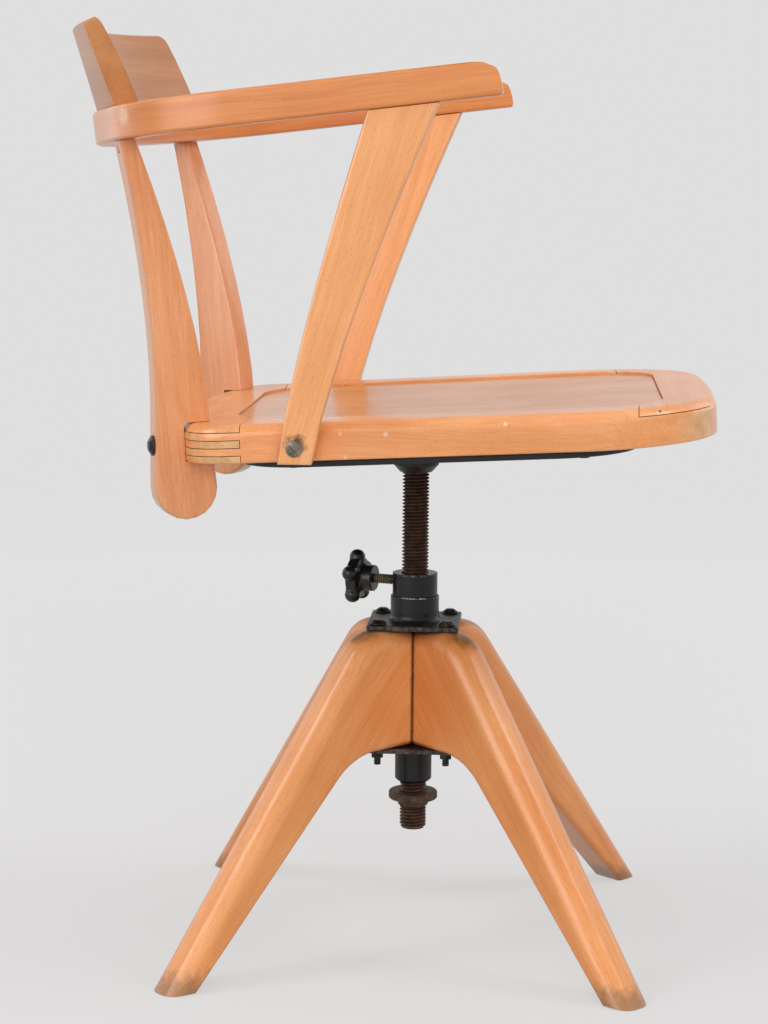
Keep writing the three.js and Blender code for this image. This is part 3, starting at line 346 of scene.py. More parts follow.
def varnishedBeech(name, changes):
    look = {**beechLook, **changes}
    material, shader, add, place = newMaterial(name)
    marks = ("grainPlace", "grainAxis")
    grain, fibreAxis = [add("Attribute", take="Vector", attribute_name=mark) for mark in marks]
    facing = add("TexCoord", take="Normal")
    endOn = add("VectorMath", [facing, fibreAxis], take="Value", operation="DOT_PRODUCT")
    endOn = add("Math", [endOn], operation="ABSOLUTE")
    endness = add("MapRange", [endOn, 0.6, 0.95], interpolation_type="SMOOTHSTEP")
    tone, fibre, patch = grainTone(add, look, grain)
    colour, fleck = beechColour(add, look, grain, tone, endness)
    colour = soiledAndShaded(add, look, place, colour)
    rough = look["roughness"]
    gloss = add("MapRange", [patch, 0.2, 0.8, rough - 0.05, rough + 0.09])
    ridge = add("Math", [fibre, fleck], operation="SUBTRACT")
    bump = add("Bump", {"Height": ridge, "Strength": 0.14, "Distance": look["relief"] / 1000})
    setInputs(shader, {
        "Base Color": colour, "Roughness": gloss, "IOR": 1.5, "Normal": bump,
        "Specular IOR Level": look["shine"], "Coat Weight": look["coat"],
        "Coat Roughness": look["coatRoughness"], "Coat IOR": 1.5,
    })
    return material


# Satin black stoving paint on steel, rubbed brown and bright on the arrises, with painted highlights on the
# column's rings
paintLook = {
    "hex": "141515",
    "wornHex": "3d2c20",
    "brightHex": "b9ab9a",
    "roughness": 0.38,
    "wornShare": 0.35,
    "sheenSize": 14.2857,  # mm
    "grit": 1.2,
    "gritCoarser": 4,  # real grit is too fine to show, drawn so many times as coarse
    "relief": 0.3,
    "lines": [],  # height, half width and strength of each bright ring, mm: a painted highlight on the front and back, faint rubbed paint further round
    "glintReach": 12,  # mm beside the spindle's line, within which the rings carry their painted highlight
    "glintCore": 9.2308,  # fully bright up to here
    "rubbedShare": 0.12,  # share of the brightness further round
    "rimHalf": 0,  # half the side of a square plate whose rim is rubbed bright, mm
    "rimInner": 1.4,  # in from the rim, where the rubbing starts and where it is full
    "rimOuter": 0.3,
    "rimStrength": 0.1,
}


def blackPaint(name, changes):
    look = {**paintLook, **changes}
    material, shader, add, place = newMaterial(name)
    broad, grit = 1000 / look["sheenSize"], 1000 / look["grit"] / look["gritCoarser"]
    sheen = add("TexNoise", {"Vector": place, "Scale": broad, "Detail": 4.0, "Roughness": 0.6})
    speck = add("TexNoise", {"Vector": place, "Scale": grit, "Detail": 3.0, "Roughness": 0.7})
    both = add("Math", [sheen, speck], operation="MULTIPLY")
    edge = 0.42 - 0.22 * look["wornShare"]
    colour = tinted(add, linear(look["hex"]), look["wornHex"], both, edge, edge + 0.09, 0.85)
    broken = add("MapRange", [speck, 0.4, 0.56])
    height = add("SeparateXYZ", [place], take="Z")
    besideX, besideY = besideSpindle(add, place)
    # painted highlight: the rings are fully bright on the front and back, near the spindle's line in y, and
    # keep only a small share further round as rubbed paint
    rubAndGlint = add("MapRange", [besideY, look["glintReach"] / 1000, look["glintCore"] / 1000, look["rubbedShare"]])
    marks = []
    for middle, half, strength in look["lines"]:
        away = add("Math", [height, middle / 1000], operation="SUBTRACT")
        away = add("Math", [away], operation="ABSOLUTE")
        mark = add("MapRange", [away, half / 1000, half / 2000, 0.0, strength])
        marks.append(add("Math", [mark, rubAndGlint], operation="MULTIPLY"))
    if look["rimHalf"]:
        outer = add("Math", [besideX, besideY], operation="MAXIMUM")
        rim = [(look["rimHalf"] - look[part]) / 1000 for part in ("rimInner", "rimOuter")]
        marks.append(add("MapRange", [outer, rim[0], rim[1], 0.0, look["rimStrength"]]))
    for mark in marks:
        level = add("Math", [mark, broken], operation="MULTIPLY")
        colour = add("Mix", [level, colour, linear(look["brightHex"])], data_type="RGBA")
    rough = look["roughness"]
    gloss = add("MapRange", [speck, 0.25, 0.75, rough - 0.07, rough + 0.14])
    bump = add("Bump", {"Height": speck, "Strength": 0.2, "Distance": look["relief"] / 1000})
    setInputs(shader, {"Base Color": colour, "Roughness": gloss, "Specular IOR Level": 0.3, "Normal": bump})
    return material


# Rusted turned steel with old grease: brown to nearly black, matt, gritty
rustLook = {
    "darkHex": "35231a",
    "middleHex": "583a26",
    "brightHex": "7d5334",
    "roughness": 0.55,
    "metal": 0.35,
    "mottle": 8.3333,  # mm
    "grit": 1.4,
    "gritCoarser": 3,  # real grit is too fine to show, drawn so many times as coarse
    "relief": 0.4,
    "grooves": None,  # a thread's line as a point and a direction, its crest and its root radius, mm
    "grimeHex": "150d0a",
}


def rustedSteel(name, changes):
    look = {**rustLook, **changes}
    material, shader, add, place = newMaterial(name)
    broad, grit = 1000 / look["mottle"], 1000 / look["grit"] / look["gritCoarser"]
    coarse = add("TexNoise", {"Vector": place, "Scale": broad, "Detail": 4.0, "Roughness": 0.65})
    fine = add("TexNoise", {"Vector": place, "Scale": grit, "Detail": 3.0})
    colour = tinted(add, linear(look["darkHex"]), look["middleHex"], coarse, 0.38, 0.62)
    colour = tinted(add, colour, look["brightHex"], fine, 0.58, 0.74, 0.6)
    if look["grooves"]:
        point, direction, crest, root = look["grooves"]
        away = add("VectorMath", [place, metres(*point)], operation="SUBTRACT")
        away = add("VectorMath", [away, direction], operation="CROSS_PRODUCT")
        away = add("VectorMath", [away], take="Value", operation="LENGTH")
        flank = root + (crest - root) / 3
        colour = tinted(add, colour, look["grimeHex"], away, flank / 1000, root / 1000, 0.85)
    rough = look["roughness"]
    gloss = add("MapRange", [fine, 0.0, 1.0, rough - 0.12, rough + 0.15])
    bump = add("Bump", {"Height": fine, "Strength": 0.35, "Distance": look["relief"] / 1000})
    setInputs(shader, {"Base Color": colour, "Roughness": gloss, "Metallic": look["metal"], "Normal": bump})
    return material


# Moulded phenolic: deep black, glossy, faint flow marks
phenolicLook = {
    "hex": "0e0e0e",
    "flowHex": "1b1917",
    "flowWidth": 7.6923,  # mm
    "relief": 0.5,
    "glossiest": 0.24,
    "dullest": 0.4,
}


def mouldedPhenolic(name, look):
    material, shader, add, place = newMaterial(name)
    flow = add("TexNoise", {"Vector": place, "Scale": 1000 / look["flowWidth"], "Detail": 3.0})
    colour = add("Mix", [flow, linear(look["hex"]), linear(look["flowHex"])], data_type="RGBA")
    gloss = add("MapRange", [flow, 0.0, 1.0, look["glossiest"], look["dullest"]])
    bump = add("Bump", {"Height": flow, "Strength": 0.06, "Distance": look["relief"] / 1000})
    setInputs(shader, {"Base Color": colour, "Roughness": gloss, "Specular IOR Level": 0.4, "Normal": bump})
    return material


legBeech = varnishedBeech("varnishedLegBeech", {
    "paleHex": "e8a064", "middleHex": "e08f50", "darkHex": "d07f42", "bandShare": 0.28, "patchShare": 0.36,
    "coat": 0.42, "coatRoughness": 0.25, "shine": 0.4, "footHeight": 22, "seam": 1.7,
    # The first four darken the legs' tops by the plate's corners: painted shade. The last darkens round the
    # bore under the legs' crossing.
    "stainsAndShade": [(-44, 45, 287, 26, 0.6, "5a4a28"), (-44, -48, 285, 28, 0.62, "5a4a28"),
               (44, 45, 287, 24, 0.5, "5a4a28"), (44, -45, 287, 24, 0.5, "5a4a28"),
               (0, 0, 178, 46, 0.7, "3a2a1c")],
})
uprightBeech = varnishedBeech("varnishedUprightBeech", {
    "paleHex": "eba573", "middleHex": "e09560", "darkHex": "d08350",
})
strutBeech = varnishedBeech("varnishedStrutBeech", {
    "paleHex": "fab67c", "middleHex": "f2a86a", "darkHex": "e6985a",
    "stainsAndShade": [(side * 226, 86, 472, 17, 0.95, "33211a") for side in (-1, 1)],
})
railBeech = varnishedBeech("varnishedRailBeech", {
    "paleHex": "f2a970", "middleHex": "e89a5d", "darkHex": "d98949",
    "stainsAndShade": [(-200, 92, 462, 20, 0.8, "3d2a1e")],
    "spots": [(-187.1, -208.2, 500.1, 1.9, 1.0, "1e100a"), (-202, 14.2, 479.8, 2.6, 0.7, "f1cfae"),
              (-206, -83.3, 490.1, 2.4, 0.7, "f1cfae"), (-200.1, 51.6, 479.6, 2.0, 0.6, "f1cfae"),
              (-200.3, 46.9, 460.1, 2.4, 0.6, "f1cfae")],
})
bentBeech = varnishedBeech("bentArmBeech", {
    "paleHex": "df8f48", "middleHex": "d6803c", "darkHex": "c66d30",
    "roughness": 0.36, "coat": 0.5, "coatRoughness": 0.3,
    "stainsAndShade": [(-201, 229, 735, 15, 0.6, "efc39c")],
    "spots": [(-144.2, 255.1, 719.1, 2.0, 0.9, "2e1c12")],
})
crestBeech = varnishedBeech("varnishedCrestBeech", {
    "paleHex": "c98a52", "middleHex": "bd7b48", "darkHex": "b06d3c",
    "endHex": "c08049", "endDarkHex": "ae6c38", "roughness": 0.36, "coat": 0.2, "shine": 0.4,
})
panelPly = varnishedBeech("varnishedSeatPlywood", {
    "paleHex": "dc9a62", "middleHex": "cf8a52", "darkHex": "c07a44", "roughness": 0.24, "coat": 0.17,
    "coatRoughness": 0.05, "shine": 0.2, "fleckStrength": 0.2, "bandWidth": 34,
})
rawBeech = varnishedBeech("darkenedRawBeech", {
    "paleHex": "b98457", "middleHex": "9c6a43", "darkHex": "7c5030", "roughness": 0.6, "coat": 0.0,
})
# the two rings, at the top edges of the sleeve and the collar, are painted highlights on the front and back
# over faint rubbed paint
columnPaint = blackPaint("stovedBlackPaint", {
    "roughness": 0.28, "brightHex": "c3c6cb", "lines": [(312.0, 0.55, 1.0), (332.2, 1.0, 0.2)],
})
platePaint = blackPaint("rubbedBlackPaint", {
    "wornShare": 0.85, "hex": "1d1917", "wornHex": "43342a", "rimHalf": 41,
})
hubPaint = blackPaint("brownedHubPaint", {"wornShare": 0.6, "hex": "1f1b19", "wornHex": "3d2c22"})
boardPaint = blackPaint("blackenedPlywood", {"hex": "26282b", "wornShare": 0.1, "roughness": 0.6})
boltPaint = blackPaint("rubbedBoltPaint", {"wornShare": 0.8, "wornHex": "54443a", "roughness": 0.32})
flangeSteel = rustedSteel("rustedFlangeSteel", {
    "darkHex": "2e231c", "middleHex": "553d2b", "brightHex": "8a6242",
})
screwSteel = rustedSteel("dulledScrewSteel", {
    "darkHex": "6b6257", "middleHex": "8f8679", "brightHex": "b3a897",
    "metal": 0.75, "roughness": 0.42, "grit": 1.0,
})
print("materials made")


def placePiece(nodes, bm, material, bevel=0.0, segments=2, grain=None, name=None):
    piece = meshObject(name or nodes[0].replace("_", "-"), bm)
    piece.data.shade_smooth()
    if grain:
        markGrain(piece.data, grain)
    piece.data.materials.append(material)
    if bevel:
        rounding = piece.modifiers.new("easedArrises", "BEVEL")
        rounding.width = bevel / 1000
        rounding.segments = segments
        rounding.limit_method = "ANGLE"
        rounding.angle_limit = math.radians(32)
        rounding.use_clamp_overlap = True
    leveller = piece.modifiers.new("levelNormals", "WEIGHTED_NORMAL")
    leveller.weight = 80  # favours the large faces
    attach(piece, bodyOf[nodes[0]])
    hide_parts(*nodes)


def straightGrain(along, seed, across=(0, 0, 1)):
    along = Vector(along).normalized()
    third = along.cross(Vector(across)).normalized()
    across = third.cross(along)
    shift = Vector((seed * 0.731, seed * 0.417, seed * 0.913))
    return lambda spot: (Vector((spot.dot(along), spot.dot(across), spot.dot(third))) + shift, along)


def markGrain(mesh, grain):
    place = mesh.attributes.new("grainPlace", "FLOAT_VECTOR", "POINT")
    axis = mesh.attributes.new("grainAxis", "FLOAT_VECTOR", "POINT")
    for i, vertex in enumerate(mesh.vertices):
        place.data[i].vector, axis.data[i].vector = grain(vertex.co)


def solidOf(node):
    bm = bmesh.new()
    bm.from_mesh(frame["nodes"][node].data)
    bmesh.ops.remove_doubles(bm, verts=bm.verts, dist=2e-6)
    bmesh.ops.dissolve_limit(bm, angle_limit=math.radians(0.6), verts=bm.verts, edges=bm.edges)
    return bm


def dressNode(node, material, bevel, segments=2, grain=None):
    placePiece([node], solidOf(node), material, bevel, segments, grain)


def loft(rings, capped=True):  # closed rings of points in metres, with flat ends or closed on itself
    bm = bmesh.new()
    rows = [[bm.verts.new(point) for point in ring] for ring in rings]
    for lower, upper in zip(rows, rows[1:] if capped else rows[1:] + rows[:1]):
        for i in range(len(lower)):
            j = (i + 1) % len(lower)
            bm.faces.new((lower[i], lower[j], upper[j], upper[i]))
    if capped:
        bm.faces.new(rows[0][::-1])
        bm.faces.new(rows[-1])
    return bm


def turned(profile, sides):  # rings of radius and height, in millimetres, round the spindle's line
    turns = [2 * math.pi * i / sides for i in range(sides)]
    rings = [[metres(r * math.cos(turn), r * math.sin(turn), z) for turn in turns] for r, z in profile]
    return loft(rings, capped=False)


def finished(item, *helpers):  # the item with its modifiers done, as a bmesh; it and its helpers go
    done = bpy.data.meshes.new_from_object(item.evaluated_get(bpy.context.evaluated_depsgraph_get()))
    result = bmesh.new()
    result.from_mesh(done)
    bpy.data.meshes.remove(done)
    for used in (item, *helpers):
        mesh = used.data
        bpy.data.objects.remove(used)
        bpy.data.meshes.remove(mesh)
    return result


def carved(bm, steps):  # each step is DIFFERENCE or INTERSECT with a solid
    blank = meshObject("blank", bm)
    cutters = []
    for operation, tool in steps:
        cutters.append(meshObject("cutter", tool))
        step = blank.modifiers.new("cut", "BOOLEAN")
        step.operation = operation
        step.object = cutters[-1]
        step.solver = "EXACT"
    result = finished(blank, *cutters)
    bmesh.ops.remove_doubles(result, verts=result.verts, dist=2e-6)
    bmesh.ops.dissolve_limit(result, angle_limit=math.radians(0.3), verts=result.verts, edges=result.edges)
    return result


spindle = {
    "radius": 12.0,
    "rootRadius": 10.0,
    "pitch": 3.1,
    "crestShare": 0.2,  # flat top and flat root of one thread
    "rootShare": 0.16,
    "sides": 48,
    "endSlope": 0.8,  # how fast the thread grows from the rod's ends
}
clampThread = {**spindle, "radius": 4.5, "rootRadius": 3.4, "pitch": 2.0, "rootShare": 0.2, "sides": 28}


def threadedRod(data, bottom, top):
    bm = bmesh.new()
    flank = (1 - data["crestShare"] - data["rootShare"]) / 2
    marks = [0, data["crestShare"], data["crestShare"] + flank, 1 - flank]
    radii = [data["radius"], data["radius"], data["rootRadius"], data["rootRadius"]]
    pitch, sides = data["pitch"], data["sides"]
    turns = int((top - bottom) / pitch) + 2
    columns = []
    for i in range(turns * sides + 1):
        angle = 2 * math.pi * i / sides
        column = []
        for mark, radius in zip(marks, radii):
            height = bottom - pitch + pitch * (i / sides + mark)
            inside = min(height - bottom, top - height)
            held = min(max(height, bottom), top)
            r = min(radius, data["rootRadius"] + max(inside, 0.0) * data["endSlope"])
            column.append(bm.verts.new((r * math.cos(angle) / 1000, r * math.sin(angle) / 1000, held / 1000)))
        columns.append(column)
    for i in range(len(columns) - 1):
        for k in range(len(marks) - 1):
            bm.faces.new((columns[i][k], columns[i + 1][k], columns[i + 1][k + 1], columns[i][k + 1]))
        if i + 1 + sides < len(columns):
            turnedOn, turnedAfter = columns[i + sides][0], columns[i + 1 + sides][0]
            bm.faces.new((columns[i][-1], columns[i + 1][-1], turnedAfter, turnedOn))
    bmesh.ops.remove_doubles(bm, verts=bm.verts, dist=1e-6)
    bmesh.ops.holes_fill(bm, edges=[e for e in bm.edges if e.is_boundary], sides=0)
    return bm


def addSpindle(data):
    rod = threadedRod(data, spindleLow.z * 1000, spindleHigh.z * 1000)
    bmesh.ops.translate(rod, verts=rod.verts, vec=(0, axisY / 1000, 0))
    grooves = ((0, 0, 0), (0, 0, 1), data["radius"], data["rootRadius"])
    steel = rustedSteel("rustedThreadSteel", {"grooves": grooves})
    placePiece(["spindle"], rod, steel, name="threaded-spindle")


sleeve = {  # mm
    "radius": 21.9, "top": 312.2, "weld": 2.4, "base": 290.15, "bore": 17.1, "ease": 0.5, "sides": 72,
}


def addColumn(data):
    base, weld, radius, top = data["base"], data["weld"], data["radius"], data["top"]
    profile = [(data["bore"], base), (radius + weld, base), (radius + weld * 0.62, base + weld * 0.45),
               (radius + weld * 0.22, base + weld * 1.1), (radius, base + weld * 2.1),
               (radius, top - data["ease"]), (radius - data["ease"], top), (data["bore"], top)]
    placePiece(["column_sleeve"], turned(profile, data["sides"]), columnPaint, 0.25)
    for node, paint, bevel in (("column_tube", columnPaint, 0.5), ("threaded_collar", columnPaint, 0.7),
                               ("stop_nut", flangeSteel, 0.6), ("seat_hub", hubPaint, 0.7),
                               ("top_plate", platePaint, 0.5), ("bottom_plate", platePaint, 0.5)):
        dressNode(node, paint, bevel)


knob = {
    "axisHeight": 324.6,  # mm
    "yawDegrees": 18,
    "hubRadius": 12.0,
    "hubStart": 38.7,  # mm from the spindle's line
    "starStart": 50.2,
    "starEnd": 62.6,
    "lobeCount": 5,
    "lobeCentre": 18.4,
    "lobeRadius": 7.1,
    "armRadius": 6.8,
    "armRoot": 10.5,
    "coreRadius": 18.4,
    "coreInset": (0.8, 1.2),  # front and back, before the skin is melted over them
    "hubInset": (0.3, 2.0),
    "voxel": 0.75,
    "easeRounds": 12,
    "lobeHalf": 0.2,
    "screwStart": 13.0,
    "screwEnd": 49.7,
}


def meltedMesh(bm, voxel, rounds):  # joins overlapping lumps into one moulded skin
    blank = meshObject("mouldingBlank", bm)
    skin = blank.modifiers.new("skin", "REMESH")
    skin.mode = "VOXEL"
    skin.voxel_size = voxel / 1000
    ease = blank.modifiers.new("ease", "SMOOTH")
    ease.factor = 0.5
    ease.iterations = rounds
    return finished(blank)


def addKnob(data):
    yaw = math.radians(data["yawDegrees"])
    outward = Vector((math.sin(yaw), math.cos(yaw), 0))
    sideways = Vector((math.cos(yaw), -math.sin(yaw), 0))
    toWorld = Matrix((sideways, Vector((0, 0, 1)), outward)).transposed().to_4x4()
    toWorld.translation = metres(0, 0, data["axisHeight"])
    bm = bmesh.new()

    def lump(x, y, radius, start, end, ball):
        made = bmesh.ops.create_cone(bm, cap_ends=True, segments=40, radius1=radius / 1000,
                                     radius2=radius / 1000, depth=(end - start) / 1000)
        bmesh.ops.translate(bm, verts=made["verts"], vec=Vector((x, y, (start + end) / 2)) / 1000)
        for height in ((start, end) if ball else ()):
            made = bmesh.ops.create_uvsphere(bm, u_segments=32, v_segments=18, radius=radius / 1000)
            bmesh.ops.translate(bm, verts=made["verts"], vec=Vector((x, y, height)) / 1000)

    middle = (data["starStart"] + data["starEnd"]) / 2
    for i in range(data["lobeCount"]):
        turn = math.radians(90 + 360 * i / data["lobeCount"])
        lump(data["lobeCentre"] * math.cos(turn), data["lobeCentre"] * math.sin(turn), data["lobeRadius"],
             middle - data["lobeHalf"], middle + data["lobeHalf"], True)
        made = bmesh.ops.create_cone(bm, cap_ends=True, segments=32, radius1=data["armRoot"] / 1000,
                                     radius2=data["armRadius"] / 1000, depth=data["lobeCentre"] / 1000)
        aim = Vector((math.cos(turn), math.sin(turn), 0))
        place = Matrix.Translation(aim * data["lobeCentre"] / 2000 + Vector((0, 0, middle / 1000)))
        place @= aim.to_track_quat("Z", "Y").to_matrix().to_4x4()
        bmesh.ops.transform(bm, verts=made["verts"], matrix=place)
    for part, start in (("core", data["starStart"]), ("hub", data["hubStart"])):
        front, back = data[part + "Inset"]
        lump(0, 0, data[part + "Radius"], start + front, data["starEnd"] - back, False)
    shape = meltedMesh(bm, data["voxel"], data["easeRounds"])
    bmesh.ops.transform(shape, matrix=toWorld, verts=shape.verts)
    placePiece(["star_knob"], shape, mouldedPhenolic("mouldedPhenolic", phenolicLook))
    screw = threadedRod(clampThread, data["screwStart"], data["screwEnd"])
    bmesh.ops.transform(screw, matrix=toWorld, verts=screw.verts)
    steel = rustedSteel("tarnishedClampSteel", {
        "darkHex": "463f31", "middleHex": "776d55", "brightHex": "aaa084", "grimeHex": "241e15",
        "roughness": 0.45,
        "grooves": ((0, 0, data["axisHeight"]), outward, clampThread["radius"], clampThread["rootRadius"]),
    })
    placePiece(["clamp_screw"], screw, steel)


slot = {"width": 1.9, "depth": 2.2, "turnDegrees": -38, "headRadius": 6.8}  # mm, of the struts' screws
sunk = {"pinTop": 6, "pinDrop": 7, "screwRise": 1.5}  # mm


def slottedHead(node, data):
    low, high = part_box(node)
    side = 1 if node.endswith("left") else -1
    cut = bmesh.new()
    bmesh.ops.create_cube(cut, size=1.0)
    turn = Matrix.Rotation(math.radians(data["turnDegrees"]) * side, 4, "X")
    size = Matrix.Diagonal((data["depth"] / 500, data["headRadius"] / 250, data["width"] / 1000, 1))
    face = Vector((high.x if side > 0 else low.x, (low.y + high.y) / 2, (low.z + high.z) / 2))
    bmesh.ops.transform(cut, matrix=Matrix.Translation(face) @ turn @ size, verts=cut.verts)
    placePiece([node], carved(solidOf(node), [("DIFFERENCE", cut)]), screwSteel, 0.3)


def addFasteners(data):
    for node in frame["nodes"]:
        if node.startswith(("base_bolt", "base_nut")):
            dressNode(node, boltPaint, 0.6, 3)
        elif node.startswith("upright_bolt"):
            dressNode(node, columnPaint, 0.5, 3)
        elif node.startswith("strut_screw"):
            slottedHead(node, slot)
        elif node.startswith(("board_screw", "hub_screw")):
            screw = solidOf(node)  # their heads lie flush, so nothing shows below the board's edge
            bmesh.ops.translate(screw, verts=screw.verts, vec=Vector((0, 0, data["screwRise"] / 1000)))
            placePiece([node], screw, boltPaint, 0.3)
        elif node.startswith("joint_pin"):
            pin = solidOf(node)  # punched below the surface and stopped, so only its filled hole shows
            top = max(vert.co.z for vert in pin.verts)
            for vert in pin.verts:
                if vert.co.z > top - data["pinTop"] / 1000:
                    vert.co.z -= data["pinDrop"] / 1000
            placePiece([node], pin, boltPaint, 0.2, 1)
        elif "dowel" in node:
            wood = uprightBeech if node.startswith("upright") else rawBeech
            dressNode(node, wood, 0, grain=straightGrain((0, 0, 1), 0.3, (1, 0, 0)))


leg = {
    "half": 19.0,  # mm, half the board's thickness
    "overrun": 20,  # past the spindle's line, before the legs are mitred
    "top": 285.2,
    "under": 178.9,
    "topReach": 67.7,
    "footReach": 285.6,
    "heelReach": 258.6,
    "kneeReach": 84.2,
    "shoulderRadius": 42,
    "archRadius": 63,
    "outerRounding": 14.8,
    "outerDepth": 14,  # arrises closer to the outer line than this get it
    "innerRounding": 5.5,
    "soleRounding": 1.5,
    "grain": (0.64, 0, -0.77),
    "bore": 20.0,
    "mitreGap": 0.21,
}


def rounded(corners):  # corners are x, y and radius; an arc point every five degrees
    points = []
    for i, (x, y, radius) in enumerate(corners):
        here = Vector((x, y))
        before = (Vector(corners[i - 1][:2]) - here).normalized()
        after = (Vector(corners[(i + 1) % len(corners)][:2]) - here).normalized()
        if not radius:
            points.append(here)
            continue
        half = before.angle(after) / 2
        centre = here + (before + after).normalized() * radius / math.sin(half)
        start = here + before * radius / math.tan(half)
        sweep = math.pi - 2 * half
        sign = 1 if (start - centre).cross(here - centre) > 0 else -1
        steps = max(2, round(math.degrees(sweep) / 5))
        for k in range(steps + 1):
            angle = sign * sweep * k / steps
            arm = start - centre
            points.append(centre + Vector((arm.x * math.cos(angle) - arm.y * math.sin(angle),
                                           arm.x * math.sin(angle) + arm.y * math.cos(angle))))
    return points


def insetOutline(points, insets):  # a counter-clockwise outline moved inwards by one amount, or side by side
    insets = insets if isinstance(insets, list) else [insets] * len(points)
    lines = []
    for i, point in enumerate(points):
        run = (points[(i + 1) % len(points)] - point).normalized()
        inward = Vector((-run.y, run.x))
        lines.append((inward, inward.dot(point) + insets[i]))
    moved = []
    for i, point in enumerate(points):
        (p, a), (q, b) = lines[i - 1], lines[i]
        across = p.x * q.y - p.y * q.x
        if abs(across) < 0.002:
            moved.append(point + (p + q).normalized() * (insets[i - 1] + insets[i]) / 2)
        else:
            moved.append(Vector(((a * q.y - b * p.y) / across, (p.x * b - q.x * a) / across)))
    return moved


def roundedRings(points, radii, half, steps=6):  # points across a slab whose arrises are rounded side by side
    rings = []
    for side in (-1, 1):
        for k in (range(steps + 1) if side < 0 else range(steps, -1, -1)):
            turn = math.pi / 2 * k / steps
            ring = insetOutline(points, [radius * (1 - math.sin(turn)) for radius in radii])
            fall = 1 - math.cos(turn)
            across = [side * (half - max(radii[i - 1], radii[i]) * fall) for i in range(len(points))]
            rings.append([(p.x, p.y, w) for p, w in zip(ring, across)])
    return rings


def addLegs(data):
    slope = (data["footReach"] - data["topReach"]) / data["top"]
    start = -data["overrun"]
    points = rounded([
        (start, data["under"], 0), (data["kneeReach"], data["under"], data["archRadius"]),
        (data["heelReach"], 0, 0), (data["footReach"], 0, 0),
        (data["topReach"], data["top"], data["shoulderRadius"]), (start, data["top"], 0),
    ])
    radii = []
    for i, point in enumerate(points):
        middle = (point + points[(i + 1) % len(points)]) / 2
        depth = data["topReach"] - middle.x + (data["top"] - middle.y) * slope
        if middle.x < start + 1:
            radii.append(0.0)
        elif middle.y < 0.01:
            radii.append(data["soleRounding"])
        elif depth < data["outerDepth"] or middle.y > data["top"] - 1:
            radii.append(data["outerRounding"])
        else:
            radii.append(data["innerRounding"])
    rings = roundedRings(points, radii, data["half"])
    for i, node in enumerate(("leg_front_left", "leg_rear_left", "leg_rear_right", "leg_front_right")):
        yaw = math.radians(-45 + 90 * i)
        outward = Vector((math.cos(yaw), math.sin(yaw), 0))
        sideways = Vector((-math.sin(yaw), math.cos(yaw), 0))
        board = []
        for ring in rings:
            row = []
            for x, z, w in ring:
                if x < 0:
                    x = max(abs(w) + data["mitreGap"], math.sqrt(max(data["bore"] ** 2 - w * w, 0)))
                spot = outward * x + sideways * w
                row.append(metres(spot.x, spot.y, z))
            board.append(row)
        along = outward * data["grain"][0] + Vector((0, 0, data["grain"][2]))
        grain = straightGrain(along, i + 0.4, outward)
        placePiece([node], loft(board), legBeech, grain=grain)


seat = {  # millimetres, set out in the seat's own tilted frame
    "base": 460.4,
    "tiltDegrees": 3.2,
    "thickness": 32.0,
    "front": 264.0,
    "rear": 207.0,
    "rearHalf": 196.0,
    "rearShoulder": 131.8,
    "splay": 0.05011,
    "frontRadius": 1500,  # of the swelled front edge
    "frontSwell": 6,
    "frontCorner": 115,
    "rearRadius": 590,
    "rearSweepDegrees": 14.5,
    "rearCorner": 38,
    "sideWidth": 40.0,
    "topRounding": 10.0,
    "lowRounding": 2.0,
    "openingFront": 216.0,
    "openingRear": 147.0,
    "openingCorners": (60, 66),  # front and rear
    "ledge": 10.0,
    "recess": 2.2,
    "panelThickness": 7.0,
    "clearance": 0.3,
    "panelGap": 0.35,
    "panelEase": (0.6, 0.5),  # across and down
    "dish": 3.2,
    "dishCentre": -30,
    "dishSteps": 15,
    "gap": 0.6,  # width of the joint lines
    "frontJoint": {1: 183.5, -1: 194.5},  # the two sides of the real frame differ
    "frontTongue": 42.0,
    "layers": 5,
    "cutSpan": (-20, 52),  # from below the frame to above it
    "cutFar": 480,
    "cutMargin": 20,
    "board": {
        "front": 194.0,
        "rear": 143.0,
        "inset": 7.0,
        "corner": 66.0,
        "edge": [(0.8, 0), (0, -0.8), (0, -2.5), (0.9, -4.4), (2.4, -5.5)],  # inset and height
    },
}


def seatOuter(y):
    return seat["rearHalf"] + (seat["rearShoulder"] - y) * seat["splay"]


def inSeat(x, y, z):
    tilt = math.radians(seat["tiltDegrees"])
    cos, sin = math.cos(tilt), math.sin(tilt)
    return metres(x, y * cos + z * sin, seat["base"] - y * sin + z * cos)


def mirrored(corners):
    return corners + [(-x, y, r) for x, y, r in reversed(corners)]


def seatRing(points, z):
    return [inSeat(p.x, p.y, z) for p in points]


def railBlock(side, across, along, up):  # from a side rail's inner edge, across it and forward along it
    lean = math.atan(seat["splay"])
    (inner, outer), (back, front) = across, along
    corners = []
    for z in up:
        ring = []
        for x, y in ((inner, -front), (outer, -front), (outer, -back), (inner, -back)):
            turnedX = x * math.cos(lean) - y * math.sin(lean) + seat["rearHalf"] - seat["sideWidth"]
            turnedY = x * math.sin(lean) + y * math.cos(lean) + seat["rearShoulder"]
            ring.append(inSeat(side * turnedX, turnedY, z))
        corners.append(ring)
    return loft(corners)


def openingOutline(inset):
    front, rear = -seat["openingFront"], seat["openingRear"]
    frontCorner, rearCorner = seat["openingCorners"]
    points = rounded(mirrored([(seatOuter(front) - seat["sideWidth"], front, frontCorner),
                               (seatOuter(rear) - seat["sideWidth"], rear, rearCorner)]))
    return insetOutline(points, inset)


